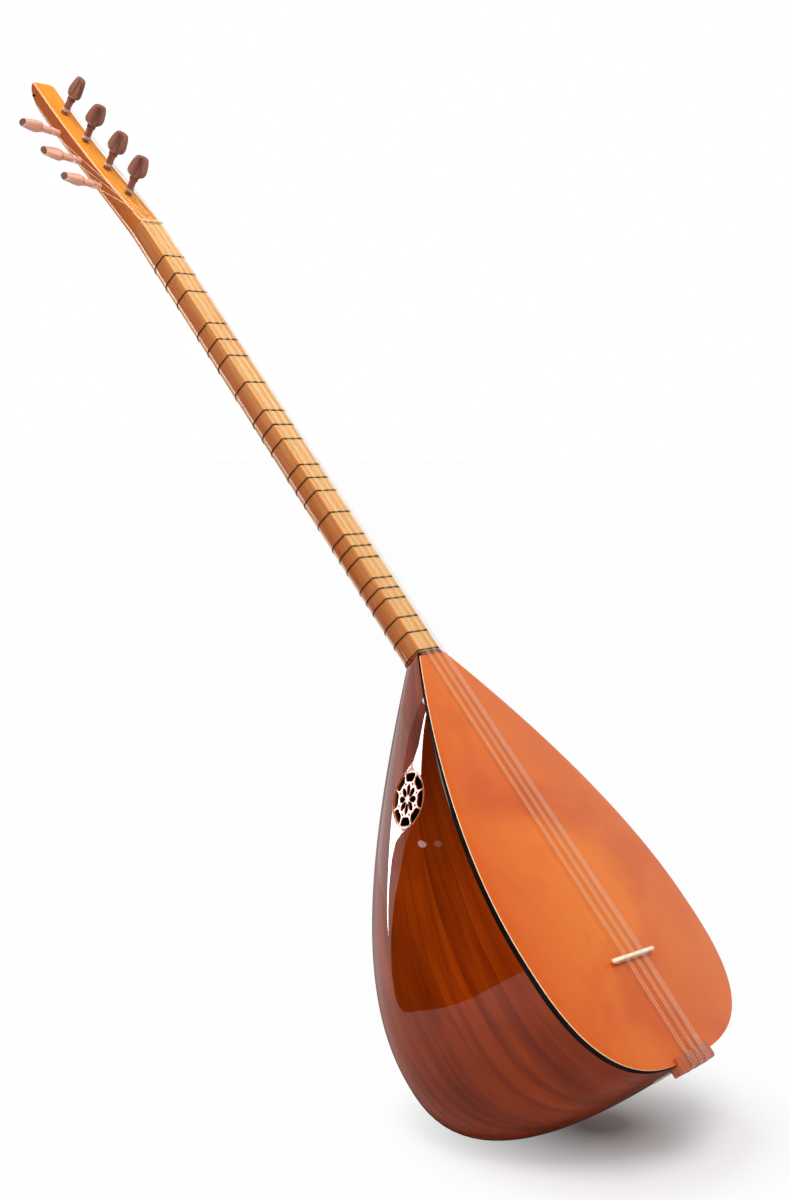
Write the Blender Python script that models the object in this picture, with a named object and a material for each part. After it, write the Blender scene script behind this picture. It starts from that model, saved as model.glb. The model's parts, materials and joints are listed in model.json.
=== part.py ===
"""A long-necked saz: stave-built bowl, tied frets, seven turning pegs and a bridge held by the strings.

It is drawn in the instrument's own frame: X across it, Y along the neck from the bridge's line,
Z out of the soundboard, whose top is the plane Z = 0. One empty leans it back as it is held at rest,
with the world's origin where the bowl is lowest.
"""

import math

import bmesh
import bpy
from mathutils import Matrix, Vector

# Fits
GAP = 0.0003  # between pieces that are glued or rest on each other
TURN_GAP = 0.0003  # round a peg in its hole

# Lengths along the instrument
SCALE_LENGTH = 0.880  # bridge to nut
JOINT_RATIO = 8 / 3  # string length over stopped length where the neck meets the bowl
NECK_JOINT = SCALE_LENGTH / JOINT_RATIO  # bridge to the end of the bowl
TAIL_LENGTH = 0.097  # bridge to the tail
LEAN = math.radians(41.25)  # of the neck from upright

# Bowl
HALF_WIDTH = 0.1275
DEPTH = 0.2565
WIDEST = 0.0325  # bridge to the widest section
DEEPEST = 0.0190  # bridge to the deepest section
ROUNDNESS = 2.49  # exponent of the sections and of the tail seen from the side, 2 for an ellipse
TAIL_SQUARENESS = 2.80  # the same for the tail seen from the front
FLANK_SHOULDER = 0.1175  # y up to which the flank hardly draws in
FLANK = (0.219, 0.0875)  # y and half width that draw the flank in towards the neck
KEEL_SHOULDER = 0.121
KEEL = (0.218, 0.1545)  # y and depth that draw the back in towards the neck
WALL = 0.0035
STAVES = 19
SEAM_TAIL_DEPTH = 0.047  # depth of the point where the staves meet at the tail
SEAM_NECK_DEPTH = 0.012
TAIL_STEPS = 9
UPPER_STEPS = 14
POLE_ANGLE = math.radians(14)  # half the tail arc that the last stations leave to the end cap
CAP_SHARES = (0.64, 0.30)  # size of the end cap's inner rings

# Soundboard and what lines its edge
BOARD_THICKNESS = 0.003
BINDING_WIDTH = 0.0012
BINDING_HEIGHT = 0.0060
BINDING_NECK_HEIGHT = 0.0032
BINDING_TAPER = 0.130  # length over which the binding narrows towards the neck
LINING_WIDTH = 0.005
LINING_HEIGHT = 0.009
BRACE_WIDTH = 0.006
BRACE_HEIGHT = 0.012
BRACE_TIP_HEIGHT = 0.004
BRACE_FLAT = 0.6  # share of a brace that keeps its full height
BRACE_PLACES = {"upper_brace": 0.215, "lower_brace": 0.085}

# Neck
NECK_HALF_WIDTH = 0.0156  # at the bowl
NUT_HALF_WIDTH = 0.0141
NECK_DEPTH = 0.0298
NUT_DEPTH = 0.0272
NECK_SIDE = 0.0140  # height of the flat sides
ARRIS = 0.0014  # chamfer along the top edges
BACK_STEPS = 10
NECK_STEPS = 4
TENON_LENGTH = 0.026
TENON_HALF_WIDTH = 0.006
TENON_TOP = 0.006
TENON_BOTTOM = 0.018
BLOCK_LENGTH = 0.045
LIP_LENGTH = 0.0035  # strip of the neck block that shows above the soundboard

# Headstock
HEAD_LENGTH = 0.2275  # beyond the nut
HEAD_BEND = 0.1214  # beyond the nut, where the lines of its face at the nut and at the tip cross
HEAD_BEND_FALL = 0.0182  # how far that crossing lies behind the neck's face
HEAD_SWEEP = 0.0203  # how far the tip's face does
HEAD_WAIST = 0.115  # beyond the nut, where the headstock has thinned
HEAD_WAIST_DEPTH = 0.0210
HEAD_WAIST_SIDE = 0.0120
HEAD_TIP_DEPTH = 0.0195
HEAD_TIP_SIDE = 0.0115
HEAD_STEPS = 9
NOSE_LENGTH = 0.026  # over which the tip rounds off from behind
NOSE_EDGE = 0.0030  # thickness that it keeps at its end
NOSE_STEPS = 5
HEAD_TENON = 0.020
TIP_ROUND = 0.008
TIP_ROUND_STEPS = 5
TIP_PIN_RADIUS = 0.0013
TIP_PIN_OUT = 0.0015
TIP_PIN_IN = 0.006
TIP_PIN_FROM_END = 0.0115
TIP_PIN_DEPTH = 0.0088

# Nut
NUT_WIDTH = 0.003
NUT_HEIGHT = 0.0022
NUT_SEAT = 0.003

# Bridge
BRIDGE_OFF = -0.0015  # of its middle, and the strings', from the board's middle
BRIDGE_LENGTH = 0.061
BRIDGE_WIDTH = 0.0045
BRIDGE_TOP_WIDTH = 0.0030
BRIDGE_HEIGHT = 0.0068
BRIDGE_TIP_HEIGHT = 0.0026  # of the thin ends, above the raised underside
BRIDGE_FOOT = 0.038  # length that stands on the soundboard
BRIDGE_SKEW = math.radians(-3)
ARCH_HEIGHT = 0.0014
ARCH_WIDTH = 0.0075
ARCH_STEPS = 4

# Tailpiece
TAILPIECE_OFF = -0.0035  # of its middle from the board's middle
TAILPIECE_HALF = 0.0255
TAILPIECE_LEDGE = 0.006  # length on the soundboard
TAILPIECE_TOP = 0.0045
TAILPIECE_CURVE = 0.0030  # radius of its upper outer edge
TAILPIECE_CURVE_STEPS = 6
TAILPIECE_OUT = 0.008
TAILPIECE_DROP = 0.0085
TAIL_BLOCK_HALF = 0.030
TAIL_BLOCK_DEPTH = 0.021
TAIL_BLOCK_LENGTH = 0.016

# Strings: radius, and place in the row at the nut and at the bridge
COURSE_AT_NUT = 0.0088
COURSE_AT_BRIDGE = 0.0123
PAIR_AT_NUT = 0.0024
PAIR_AT_BRIDGE = 0.0032
TRIPLE_SPREAD = 0.8  # spacing in the course of three, as a share of a pair's
WOUND_RADIUS = 0.0003
PLAIN_RADIUS = 0.0002
GROOVE_GAP = 0.0003
GROOVE_SIDES = 8
STRING_BEND_STEPS = 3  # over the tailpiece's edge
EDGE_SHARE = 0.30  # of the way to a side peg, where its string leaves the headstock's face
WINDING_TURNS = 3
WINDING_POINTS = 8
WINDING_PITCH = 0.0011
FRONT_WINDING = 0.0055  # middle of the turns, from the wood
SIDE_WINDING = 0.0090

# Frets
FRET_RADIUS = 0.00025
FRET_TURNS = 2
FRET_PITCH = 0.00095
FRET_BACK_STEPS = 6
FRET_RATIOS = (
    18 / 17, 12 / 11, 9 / 8, 81 / 68, 27 / 22, 81 / 64, 4 / 3, 24 / 17, 16 / 11, 3 / 2, 27 / 17, 18 / 11,
    27 / 16, 16 / 9, 32 / 17, 64 / 33, 2, 36 / 17, 24 / 11, 9 / 4, 81 / 34, 5 / 2,
)  # string length over stopped length; one more fret is tied against the bowl
LAST_FRET_OFF = 0.0018  # from the neck's end

# Pegs, measured along their own axis from the wood that they stand in
PEG_SIDES = 10
HOLE_SIDES = 12
PEG_FACE_RADIUS = 0.0037
PEG_END_RADIUS = 0.0030
PEG_END_OUT = 0.0012  # of the thin end, on the far side
PEG_COLLAR_RADIUS = 0.0047
PEG_COLLAR_LENGTH = 0.0022
PEG_COLLAR_STEP = 0.0004  # length of the steps at the collar's ends
PEG_HEAD_HALF = 0.0101  # half its width
PEG_HEAD_THICK = 0.0059  # half its thickness
PEG_HEAD_LENGTH = 0.0240
PEG_HEAD_FORM = (
    (0.00, 0.42, 0.64), (0.07, 0.60, 0.84), (0.15, 0.88, 0.98), (0.28, 1.00, 1.00), (0.44, 0.99, 0.93),
    (0.70, 0.87, 0.81), (0.90, 0.71, 0.73), (0.98, 0.58, 0.64), (1.00, 0.46, 0.52),
)  # shares of the head's length, half width and half thickness
FRONT_PEG_OUT = 0.0435  # from the wood to the head's end
SIDE_PEG_OUT = 0.0478
FRONT_PEGS = (0.0468, 0.0895, 0.1349, 0.1801)  # beyond the nut
FRONT_LEANS = ((5.5, 2.1), (2.5, 2.1), (3.6, 2.7), (3.4, 0.0))  # degrees towards the tip and to the left
SIDE_PEGS = (0.0709, 0.1128, 0.1583)
SIDE_LEAN = (6.3, 3.7)  # degrees towards the tip and forwards
SIDE_PEG_DEPTH = 0.0115  # below the headstock's face
PEG_TURNS = (154, 134, 170, 73, 115, 123, 127)  # how far each head is turned, in degrees

# Rosettes
SIDE_ROSETTE_RADIUS = 0.0245
SIDE_ROSETTE_Y = 0.215
SIDE_ROSETTE_Z = -0.054
TAIL_ROSETTE_RADIUS = 0.0110
TAIL_ROSETTE_Z = -0.037
ROSETTE_THICKNESS = 0.0025
ROSETTE_SIDES = 32
PETALS = 8
OPENING_RADII = (0.84, 0.70, 0.56)  # of each outer opening's rim, shoulder and foot, in rosette radii
OPENING_WIDTHS = (0.38, 0.26)  # half widths of its rim and foot, in petal pitches
PETAL_FORM = ((0.13, 0.0), (0.26, 0.285), (0.38, 0.255), (0.46, 0.0), (0.38, -0.255), (0.26, -0.285))


# Curves of the bowl


def bezier(points, t):
    """The point at t on the cubic curve through its four control points."""
    weights = ((1 - t) ** 3, 3 * t * (1 - t) ** 2, 3 * t * t * (1 - t), t**3)
    return tuple(sum(w * p[k] for w, p in zip(weights, points)) for k in range(2))


def curve_value(points, y):
    """The second value of the curve where its first is y."""
    low, high = 0.0, 1.0
    for _ in range(36):
        middle = (low + high) / 2
        if bezier(points, middle)[0] < y:
            low = middle
        else:
            high = middle
    return bezier(points, (low + high) / 2)[1]


FLANK_CURVE = ((WIDEST, HALF_WIDTH), (FLANK_SHOULDER, HALF_WIDTH), FLANK, (NECK_JOINT, NECK_HALF_WIDTH))
KEEL_CURVE = ((DEEPEST, DEPTH), (KEEL_SHOULDER, DEPTH), KEEL, (NECK_JOINT, NECK_DEPTH))
LEAST_SIZE = 1e-6  # of a section, so that none is divided by nothing at the tail's end


def tail_share(y, start, power):
    """What is left at y of the section at start, from where the tail rounds off."""
    reach = min(max((start - y) / (start + TAIL_LENGTH), 0.0), 1.0)
    return (1 - reach**power) ** (1 / power)


def half_width(y):
    if y < WIDEST:
        return max(HALF_WIDTH * tail_share(y, WIDEST, TAIL_SQUARENESS), LEAST_SIZE)
    return curve_value(FLANK_CURVE, y)


def depth(y):
    if y < DEEPEST:
        return max(DEPTH * tail_share(y, DEEPEST, ROUNDNESS), LEAST_SIZE)
    return curve_value(KEEL_CURVE, y)


def tail_y(x, z):
    """The y of the tail's surface behind the point (x, z) of the bowl's middle."""
    return surface_from(Vector((x, DEEPEST, z)), Vector((0, -1, 0)), DEEPEST + TAIL_LENGTH).y


def tail_stations():
    """Angles of the tail's stations, from the end cap to the widest section."""
    step = (math.pi / 2 - POLE_ANGLE) / TAIL_STEPS
    return [POLE_ANGLE + step * k for k in range(TAIL_STEPS)]


def upper_stations():
    step = (NECK_JOINT - WIDEST) / UPPER_STEPS
    return [WIDEST + step * k for k in range(UPPER_STEPS + 1)]


def tail_point(angle, inset):
    """A point of the tail's outline, set in from the edge along its normal."""
    power = 2 / TAIL_SQUARENESS
    reach = WIDEST + TAIL_LENGTH
    side = math.copysign(abs(math.sin(angle)) ** power, math.sin(angle))
    along = math.cos(angle) ** power
    slope_x = math.copysign(abs(side) ** (TAIL_SQUARENESS - 1), side) / HALF_WIDTH
    slope = Vector((slope_x, along ** (TAIL_SQUARENESS - 1) / reach)).normalized()
    return Vector((HALF_WIDTH * side - inset * slope.x, WIDEST - reach * along + inset * slope.y))


def flank_point(y, inset):
    """A point of the outline above the widest section, set in but kept at its own y."""
    step = 1e-4
    low, high = max(y - step, WIDEST), min(y + step, NECK_JOINT)
    slope = (half_width(high) - half_width(low)) / (high - low)
    return Vector((half_width(y) - inset * math.hypot(1, slope), y))


def outline(inset):
    """The body's outline set in from its edge, from the neck down the left side, round the tail and up."""
    right = [tail_point(a, inset) for a in tail_stations()] + [flank_point(y, inset) for y in upper_stations()]
    left = [Vector((-p.x, p.y)) for p in reversed(right)]
    cap = [tail_point(a, inset) for a in (-POLE_ANGLE / 2, 0.0, POLE_ANGLE / 2)]
    return left + cap + right


def binding_height(y):
    """Height of the binding, which narrows near the neck."""
    share = min(max((NECK_JOINT - y) / BINDING_TAPER, 0.0), 1.0)
    return BINDING_NECK_HEIGHT + (BINDING_HEIGHT - BINDING_NECK_HEIGHT) * share


def level(point):
    """Under 0 inside the bowl's outer form and over 0 outside it."""
    y = min(point.y, NECK_JOINT)
    return (abs(point.x) / half_width(y)) ** ROUNDNESS + (abs(point.z) / depth(y)) ** ROUNDNESS - 1


def surface_from(point, direction, reach):
    """Where a straight line from inside the bowl meets its outer surface."""
    low, high = 0.0, reach
    for _ in range(32):
        middle = (low + high) / 2
        if level(point + direction * middle) < 0:
            low = middle
        else:
            high = middle
    return point + direction * low


def surface_normal(point):
    step = 1e-5
    slope = [
        level(point + Vector(axis) * step) - level(point - Vector(axis) * step)
        for axis in ((1, 0, 0), (0, 1, 0), (0, 0, 1))
    ]
    return Vector(slope).normalized()


def seam_axis(y):
    """The point at y of the line through which every seam's plane passes."""
    share = (y + TAIL_LENGTH) / (NECK_JOINT + TAIL_LENGTH)
    return Vector((0, y, -SEAM_TAIL_DEPTH + (SEAM_TAIL_DEPTH - SEAM_NECK_DEPTH) * share))


def seam_angles():
    """Angles of the seams and stave middles round the seam axis, equal in width at the widest section."""
    steps = 400
    points = []
    for k in range(steps + 1):
        turn = math.pi * k / steps
        x = -HALF_WIDTH * math.copysign(abs(math.cos(turn)) ** (2 / ROUNDNESS), math.cos(turn))
        points.append(Vector((x, -DEPTH * math.sin(turn) ** (2 / ROUNDNESS))))
    lengths = [0.0]
    for a, b in zip(points, points[1:]):
        lengths.append(lengths[-1] + (b - a).length)
    middle = seam_axis(WIDEST)
    angles = []
    place = 0
    for k in range(1, 2 * STAVES):
        want = lengths[-1] * k / (2 * STAVES)
        while lengths[place] < want:
            place += 1
        angles.append(math.atan2(middle.z - points[place].y, -points[place].x))
    return angles


# Helpers for meshes and objects


def finish_mesh(name, bm):
    """A mesh object made of the bmesh, its faces turned outwards."""
    bmesh.ops.remove_doubles(bm, verts=bm.verts, dist=1e-6)
    bmesh.ops.recalc_face_normals(bm, faces=bm.faces)
    mesh = bpy.data.meshes.new(name)
    bm.to_mesh(mesh)
    bm.free()
    return place_object(name, mesh)


def place_object(name, data):
    made = bpy.data.objects.new(name, data)
    bpy.context.scene.collection.objects.link(made)
    return made


def join_rings(bm, rings, closed=True):
    """Quads between rows of vertices of equal length."""
    for first, second in zip(rings, rings[1:]):
        count = len(first)
        for k in range(count if closed else count - 1):
            after = (k + 1) % count
            bm.faces.new((first[k], first[after], second[after], second[k]))


def loft(name, sections):
    """A closed solid through rings of points, capped at both ends."""
    bm = bmesh.new()
    rings = [[bm.verts.new(p) for p in ring] for ring in sections]
    join_rings(bm, rings)
    bm.faces.new(rings[0])
    bm.faces.new(rings[-1])
    return finish_mesh(name, bm)


def prism(name, outline_points, direction):
    """A flat outline of 3-D points swept along a straight direction."""
    bm = bmesh.new()
    first = [bm.verts.new(p) for p in outline_points]
    second = [bm.verts.new(Vector(p) + Vector(direction)) for p in outline_points]
    bm.faces.new(first)
    bm.faces.new(second)
    join_rings(bm, [first, second])
    return finish_mesh(name, bm)


def box(name, low, high):
    """A block between two opposite corners."""
    plan = ((low[0], low[1]), (high[0], low[1]), (high[0], high[1]), (low[0], high[1]))
    return prism(name, [(x, y, low[2]) for x, y in plan], (0, 0, high[2] - low[2]))


def frame_of(axis):
    """Two directions square to the axis and to each other."""
    other = Vector((0, 0, 1)) if abs(axis.z) < 0.9 else Vector((0, 1, 0))
    first = axis.cross(other).normalized()
    return first, axis.cross(first).normalized()


def round_bar(name, start, end, start_radius, end_radius, sides):
    """A tapered round bar between two points."""
    start, end = Vector(start), Vector(end)
    u, v = frame_of((end - start).normalized())
    rings = []
    for centre, radius in ((start, start_radius), (end, end_radius)):
        turns = [math.tau * k / sides for k in range(sides)]
        rings.append([centre + u * radius * math.cos(a) + v * radius * math.sin(a) for a in turns])
    return loft(name, rings)


def as_cutter(made):
    made.hide_render = True
    made.display_type = "WIRE"
    return made


def cut(target, cutter, operation="DIFFERENCE"):
    boolean = target.modifiers.new(cutter.name, "BOOLEAN")
    boolean.operation = operation
    boolean.solver = "EXACT"
    boolean.object = as_cutter(cutter)


def tube(name, points, radius):
    """One unbroken round line through the points, with closed ends."""
    curve = bpy.data.curves.new(name, "CURVE")
    curve.dimensions = "3D"
    curve.bevel_depth = radius
    curve.bevel_resolution = 1
    curve.use_fill_caps = True
    spline = curve.splines.new("POLY")
    spline.points.add(len(points) - 1)
    for slot, point in zip(spline.points, points):
        slot.co = (*point, 1)
    return place_object(name, curve)


def least_gap(points, radius, turn_points):
    """Least distance between surfaces of a wound line's neighbouring turns."""
    least = math.inf
    for k, point in enumerate(points):
        for start in range(k + turn_points // 2, len(points) - 1):
            a, b = points[start], points[start + 1]
            along = b - a
            share = min(max((point - a).dot(along) / along.length_squared, 0.0), 1.0)
            least = min(least, (point - a - along * share).length)
    return least - 2 * radius


def dress(made, colour, roughness, metallic=0.0, coat=0.0):
    """Gives the object its own material and smooth shading."""
    material = bpy.data.materials.new(made.name)
    material.use_nodes = True
    shader = material.node_tree.nodes["Principled BSDF"]
    shader.inputs["Base Color"].default_value = (*colour, 1)
    shader.inputs["Roughness"].default_value = roughness
    shader.inputs["Metallic"].default_value = metallic
    shader.inputs["Coat Weight"].default_value = coat
    made.data.materials.append(material)
    if made.type == "MESH":
        made.data.shade_smooth()
        made.data.set_sharp_from_angle(angle=math.radians(35))


# Colours, linear
LACQUERED_BOWL = (0.155, 0.040, 0.014)
STAINED_SPRUCE = (0.560, 0.190, 0.055)
VARNISHED_NECK = (0.500, 0.220, 0.070)
ORANGE_HEAD = (0.560, 0.210, 0.045)
BLACK_EDGE = (0.010, 0.009, 0.009)
BONE = (0.800, 0.700, 0.520)
RED_WOOD = (0.230, 0.070, 0.040)
PEG_WOOD = (0.110, 0.035, 0.022)
PLAIN_SPRUCE = (0.620, 0.450, 0.260)
PLAIN_BEECH = (0.520, 0.330, 0.180)
FRET_LINE = (0.018, 0.012, 0.010)
STEEL = (0.560, 0.550, 0.530)
BRONZE = (0.500, 0.300, 0.160)


# Bowl


def bowl_rings():
    """The outer surface's points: a ring at each station and, at the tail, a cap that closes on the pole."""
    seams = seam_angles()
    edge = outline(0.0)
    count = UPPER_STEPS + 1 + TAIL_STEPS
    left = [edge[count - 1 - k] for k in range(count)]
    rings = []
    for plan in left:
        y = plan.y
        rim = Vector((plan.x, y, -binding_height(y) - GAP))
        axis = seam_axis(y)
        rim_angle = math.atan2(axis.z - rim.z, -rim.x)
        angles = list(seams)
        angles[0] = (rim_angle + seams[1]) / 2
        angles[-1] = math.pi - angles[0]
        ring = [rim]
        for angle in angles:
            direction = Vector((-math.cos(angle), 0, -math.sin(angle)))
            ring.append(surface_from(axis, direction, 2 * DEPTH))
        ring.append(Vector((-rim.x, y, rim.z)))
        rings.append(ring)
    return rings


def cap_rings(first_ring):
    """Rings of the tail's cap, each nearer to the pole where the staves meet."""
    pole = Vector((0, tail_y(0, SEAM_TAIL_DEPTH), -SEAM_TAIL_DEPTH))
    cap = outline(0.0)[UPPER_STEPS + 1 + TAIL_STEPS : UPPER_STEPS + 1 + TAIL_STEPS + 3]
    rim_z = first_ring[0].z
    loop = first_ring + [Vector((p.x, p.y, rim_z)) for p in reversed(cap)]
    rings = [loop]
    for share in CAP_SHARES:
        ring = []
        for point in loop:
            x = pole.x + (point.x - pole.x) * share
            z = pole.z + (point.z - pole.z) * share
            ring.append(Vector((x, tail_y(x, z), z)))
        rings.append(ring)
    return rings, pole


def inner_point(point):
    """The inside of the wall behind a point of the outer surface."""
    normal = surface_normal(point)
    if point.y > WIDEST:
        flat = math.hypot(normal.x, normal.z)
        return Vector((point.x - WALL * normal.x / flat**2, point.y, point.z - WALL * normal.z / flat**2))
    return point - WALL * normal


def bowl():
    """The shell of glued staves, with a rabbet for the binding and a lip under the soundboard."""
    rings = bowl_rings()
    cap, pole = cap_rings(rings[0])
    shelf_inset = BINDING_WIDTH + GAP
    lip_z = -BOARD_THICKNESS - GAP
    shelf = outline(shelf_inset)
    inner = outline(WALL)
    count = UPPER_STEPS + 1 + TAIL_STEPS
    bm = bmesh.new()
    outer_rows = [[bm.verts.new(p) for p in ring] for ring in rings]
    arc = [bm.verts.new(p) for p in cap[0][len(rings[0]) :]]
    cap_rows = [outer_rows[0] + arc] + [[bm.verts.new(p) for p in ring] for ring in cap[1:]]
    outer_pole = bm.verts.new(pole)
    inner_rows = []
    for k, ring in enumerate(rings):
        left, right = inner[count - 1 - k], inner[count + 3 + k]
        middle = [bm.verts.new(inner_point(p)) for p in ring[1:-1]]
        ends = [bm.verts.new((p.x, p.y, lip_z)) for p in (left, right)]
        inner_rows.append([ends[0], *middle, ends[1]])
    inner_arc = [bm.verts.new((p.x, p.y, lip_z)) for p in reversed(inner[count : count + 3])]
    inner_cap = [inner_rows[0] + inner_arc]
    inner_cap += [[bm.verts.new(inner_point(p)) for p in ring] for ring in cap[1:]]
    inner_pole = bm.verts.new(inner_point(pole))
    join_rings(bm, outer_rows, closed=False)
    join_rings(bm, inner_rows, closed=False)
    for loops, tip in ((cap_rows, outer_pole), (inner_cap, inner_pole)):
        join_rings(bm, loops)
        last = loops[-1]
        for k, vert in enumerate(last):
            bm.faces.new((vert, last[(k + 1) % len(last)], tip))
    rim_outer = [row[0] for row in reversed(outer_rows)] + arc[::-1] + [row[-1] for row in outer_rows]
    rim_inner = [row[0] for row in reversed(inner_rows)] + inner_arc[::-1] + [row[-1] for row in inner_rows]
    rim_shelf = [bm.verts.new((p.x, p.y, v.co.z)) for p, v in zip(shelf, rim_outer)]
    rim_lip = [bm.verts.new((p.x, p.y, lip_z)) for p in shelf]
    join_rings(bm, [rim_outer, rim_shelf, rim_lip, rim_inner], closed=False)
    end_outer, end_inner = outer_rows[-1], inner_rows[-1]
    for k in range(1, len(end_outer) - 2):
        bm.faces.new((end_outer[k], end_outer[k + 1], end_inner[k + 1], end_inner[k]))
    for side, beside, k in ((0, 1, 0), (-1, -2, -1)):
        bm.faces.new(
            (end_outer[side], rim_shelf[k], rim_lip[k], end_inner[side], end_inner[beside], end_outer[beside])
        )
    made = finish_mesh("bowl", bm)
    for name, (centre, normal, radius) in rosette_seats().items():
        reach = normal * (3 * WALL)
        hole = (radius + GAP) / math.cos(math.pi / ROSETTE_SIDES)
        cut(made, round_bar(f"{name}_hole", centre - 2 * reach, centre + reach, hole, hole, ROSETTE_SIDES))
    dress(made, LACQUERED_BOWL, 0.12, coat=0.8)
    return made


# Soundboard, binding, linings, braces and blocks


def strip(name, outer, inner, top, bottom_of):
    """A band between two plan lines, from the height top down to bottom_of(y)."""
    bm = bmesh.new()
    rows = [
        [bm.verts.new((p.x, p.y, top)) for p in outer],
        [bm.verts.new((p.x, p.y, top)) for p in inner],
        [bm.verts.new((p.x, p.y, bottom_of(p.y))) for p in inner],
        [bm.verts.new((p.x, p.y, bottom_of(p.y))) for p in outer],
    ]
    join_rings(bm, [*rows, rows[0]], closed=False)
    for end in (0, -1):
        bm.faces.new([row[end] for row in rows])
    return finish_mesh(name, bm)


def soundboard():
    """The stained top plate, cut square where it meets the strip of the neck block."""
    edge = outline(BINDING_WIDTH + GAP)
    end = NECK_JOINT - GAP - LIP_LENGTH - GAP
    corner = flank_point(end, BINDING_WIDTH + GAP)
    kept = [p for p in edge if p.y < end]
    plan = [Vector((-corner.x, end)), *kept, Vector((corner.x, end))]
    points = [(p.x, p.y, -BOARD_THICKNESS) for p in plan]
    made = prism("soundboard", points, (0, 0, BOARD_THICKNESS))
    dress(made, STAINED_SPRUCE, 0.4, coat=0.3)


def edge_binding():
    """The black band round the soundboard's edge, in the rabbet of the bowl's rim."""
    made = strip("edge_binding", outline(0.0), outline(BINDING_WIDTH), 0.0, lambda y: -binding_height(y))
    dress(made, BLACK_EDGE, 0.2, coat=0.6)


def linings():
    """The glue ledges inside the bowl's rim, between the two blocks."""
    outer = outline(WALL + 2 * GAP)
    inner = outline(WALL + 2 * GAP + LINING_WIDTH)
    upper_end = NECK_JOINT - BLOCK_LENGTH - 2 * GAP
    top = -BOARD_THICKNESS - GAP
    pairs = [
        (a, b)
        for a, b in zip(outer, inner)
        if a.y < upper_end and abs(b.x) > TAIL_BLOCK_HALF + GAP
    ]
    for name, side in (("left_lining", -1), ("right_lining", 1)):
        chosen = [(a, b) for a, b in pairs if a.x * side > 0]
        made = strip(
            name, [a for a, _ in chosen], [b for _, b in chosen], top, lambda _: top - LINING_HEIGHT
        )
        dress(made, PLAIN_BEECH, 0.7)


def braces():
    """Two bars glued under the soundboard, thinner towards their ends."""
    top = -BOARD_THICKNESS - GAP
    for name, y in BRACE_PLACES.items():
        reach = min(
            flank_point(y - BRACE_WIDTH, WALL + LINING_WIDTH + 3 * GAP).x,
            flank_point(y + BRACE_WIDTH, WALL + LINING_WIDTH + 3 * GAP).x,
        )
        flat = reach * BRACE_FLAT
        tip, low = top - BRACE_TIP_HEIGHT, top - BRACE_HEIGHT
        profile = [(-reach, top), (-reach, tip), (-flat, low), (flat, low), (reach, tip), (reach, top)]
        made = prism(name, [(x, y - BRACE_WIDTH / 2, z) for x, z in profile], (0, BRACE_WIDTH, 0))
        dress(made, PLAIN_SPRUCE, 0.7)


def block_section(y, inset, top):
    """Half of the bowl's section at y, set in from its outer form, closed by the line z = top."""
    steps = 12
    points = []
    for k in range(steps + 1):
        turn = math.pi * k / steps
        x = -half_width(y) * math.copysign(abs(math.cos(turn)) ** (2 / ROUNDNESS), math.cos(turn))
        z = -depth(y) * abs(math.sin(turn)) ** (2 / ROUNDNESS)
        outer = Vector((x, y, min(z, -1e-4)))
        normal = surface_normal(outer)
        flat = math.hypot(normal.x, normal.z)
        point = outer - Vector((normal.x, 0, normal.z)) * (inset / flat**2)
        points.append(Vector((point.x, y, min(point.z, top))))
    return points


def neck_block():
    """The block that fills the bowl's upper end, with a mortise for the neck and a strip that shows."""
    top = -BOARD_THICKNESS - GAP
    start = NECK_JOINT - BLOCK_LENGTH
    end = NECK_JOINT - GAP
    inset = WALL + 2 * GAP
    made = loft("neck_block", [block_section(start + (end - start) * k / 3, inset, top) for k in range(4)])
    lip_start = end - LIP_LENGTH
    half = flank_point(NECK_JOINT, BINDING_WIDTH + GAP).x
    lip = box("neck_block_lip", (-half, lip_start, top - GAP), (half, end, 0.0))
    side = half - flank_point(NECK_JOINT, WALL + 2 * GAP).x
    cut(made, lip, "UNION")
    for name, sign in (("lip_trim_left", -1), ("lip_trim_right", 1)):
        x = sorted((sign * (half - side), sign * (half + side)))
        low = (x[0], lip_start - GAP, top - 2 * GAP)
        high = (x[1], end + GAP, top + GAP)
        cut(made, box(name, low, high))
    mortise = box(
        "neck_mortise",
        (-TENON_HALF_WIDTH - GAP, NECK_JOINT - TENON_LENGTH - GAP, -TENON_BOTTOM - GAP),
        (TENON_HALF_WIDTH + GAP, NECK_JOINT + GAP, -TENON_TOP + GAP),
    )
    cut(made, mortise)
    dress(made, RED_WOOD, 0.35)


def tail_block():
    """The block behind the tailpiece, its back shaped to the inside of the tail."""
    top = -BOARD_THICKNESS - GAP
    low = top - TAIL_BLOCK_DEPTH
    columns, rows = 5, 3
    bm = bmesh.new()
    grid = []
    for r in range(rows):
        z = top + (low - top) * r / (rows - 1)
        line = []
        for c in range(columns):
            x = -TAIL_BLOCK_HALF + 2 * TAIL_BLOCK_HALF * c / (columns - 1)
            line.append(Vector((x, tail_y(x, z) + WALL + 3 * GAP, z)))
        grid.append(line)
    front = -TAIL_LENGTH + WALL + TAIL_BLOCK_LENGTH
    back = [[bm.verts.new(p) for p in line] for line in grid]
    face = [[bm.verts.new((p.x, front, p.z)) for p in line] for line in grid]
    join_rings(bm, back, closed=False)
    join_rings(bm, face, closed=False)
    around = [(0, c) for c in range(columns)] + [(r, columns - 1) for r in range(1, rows)]
    around += [(rows - 1, c) for c in reversed(range(columns - 1))] + [(r, 0) for r in reversed(range(1, rows - 1))]
    join_rings(bm, [[back[r][c] for r, c in around], [face[r][c] for r, c in around]])
    dress(finish_mesh("tail_block", bm), PLAIN_BEECH, 0.7)


# Neck, headstock and nut


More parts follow.
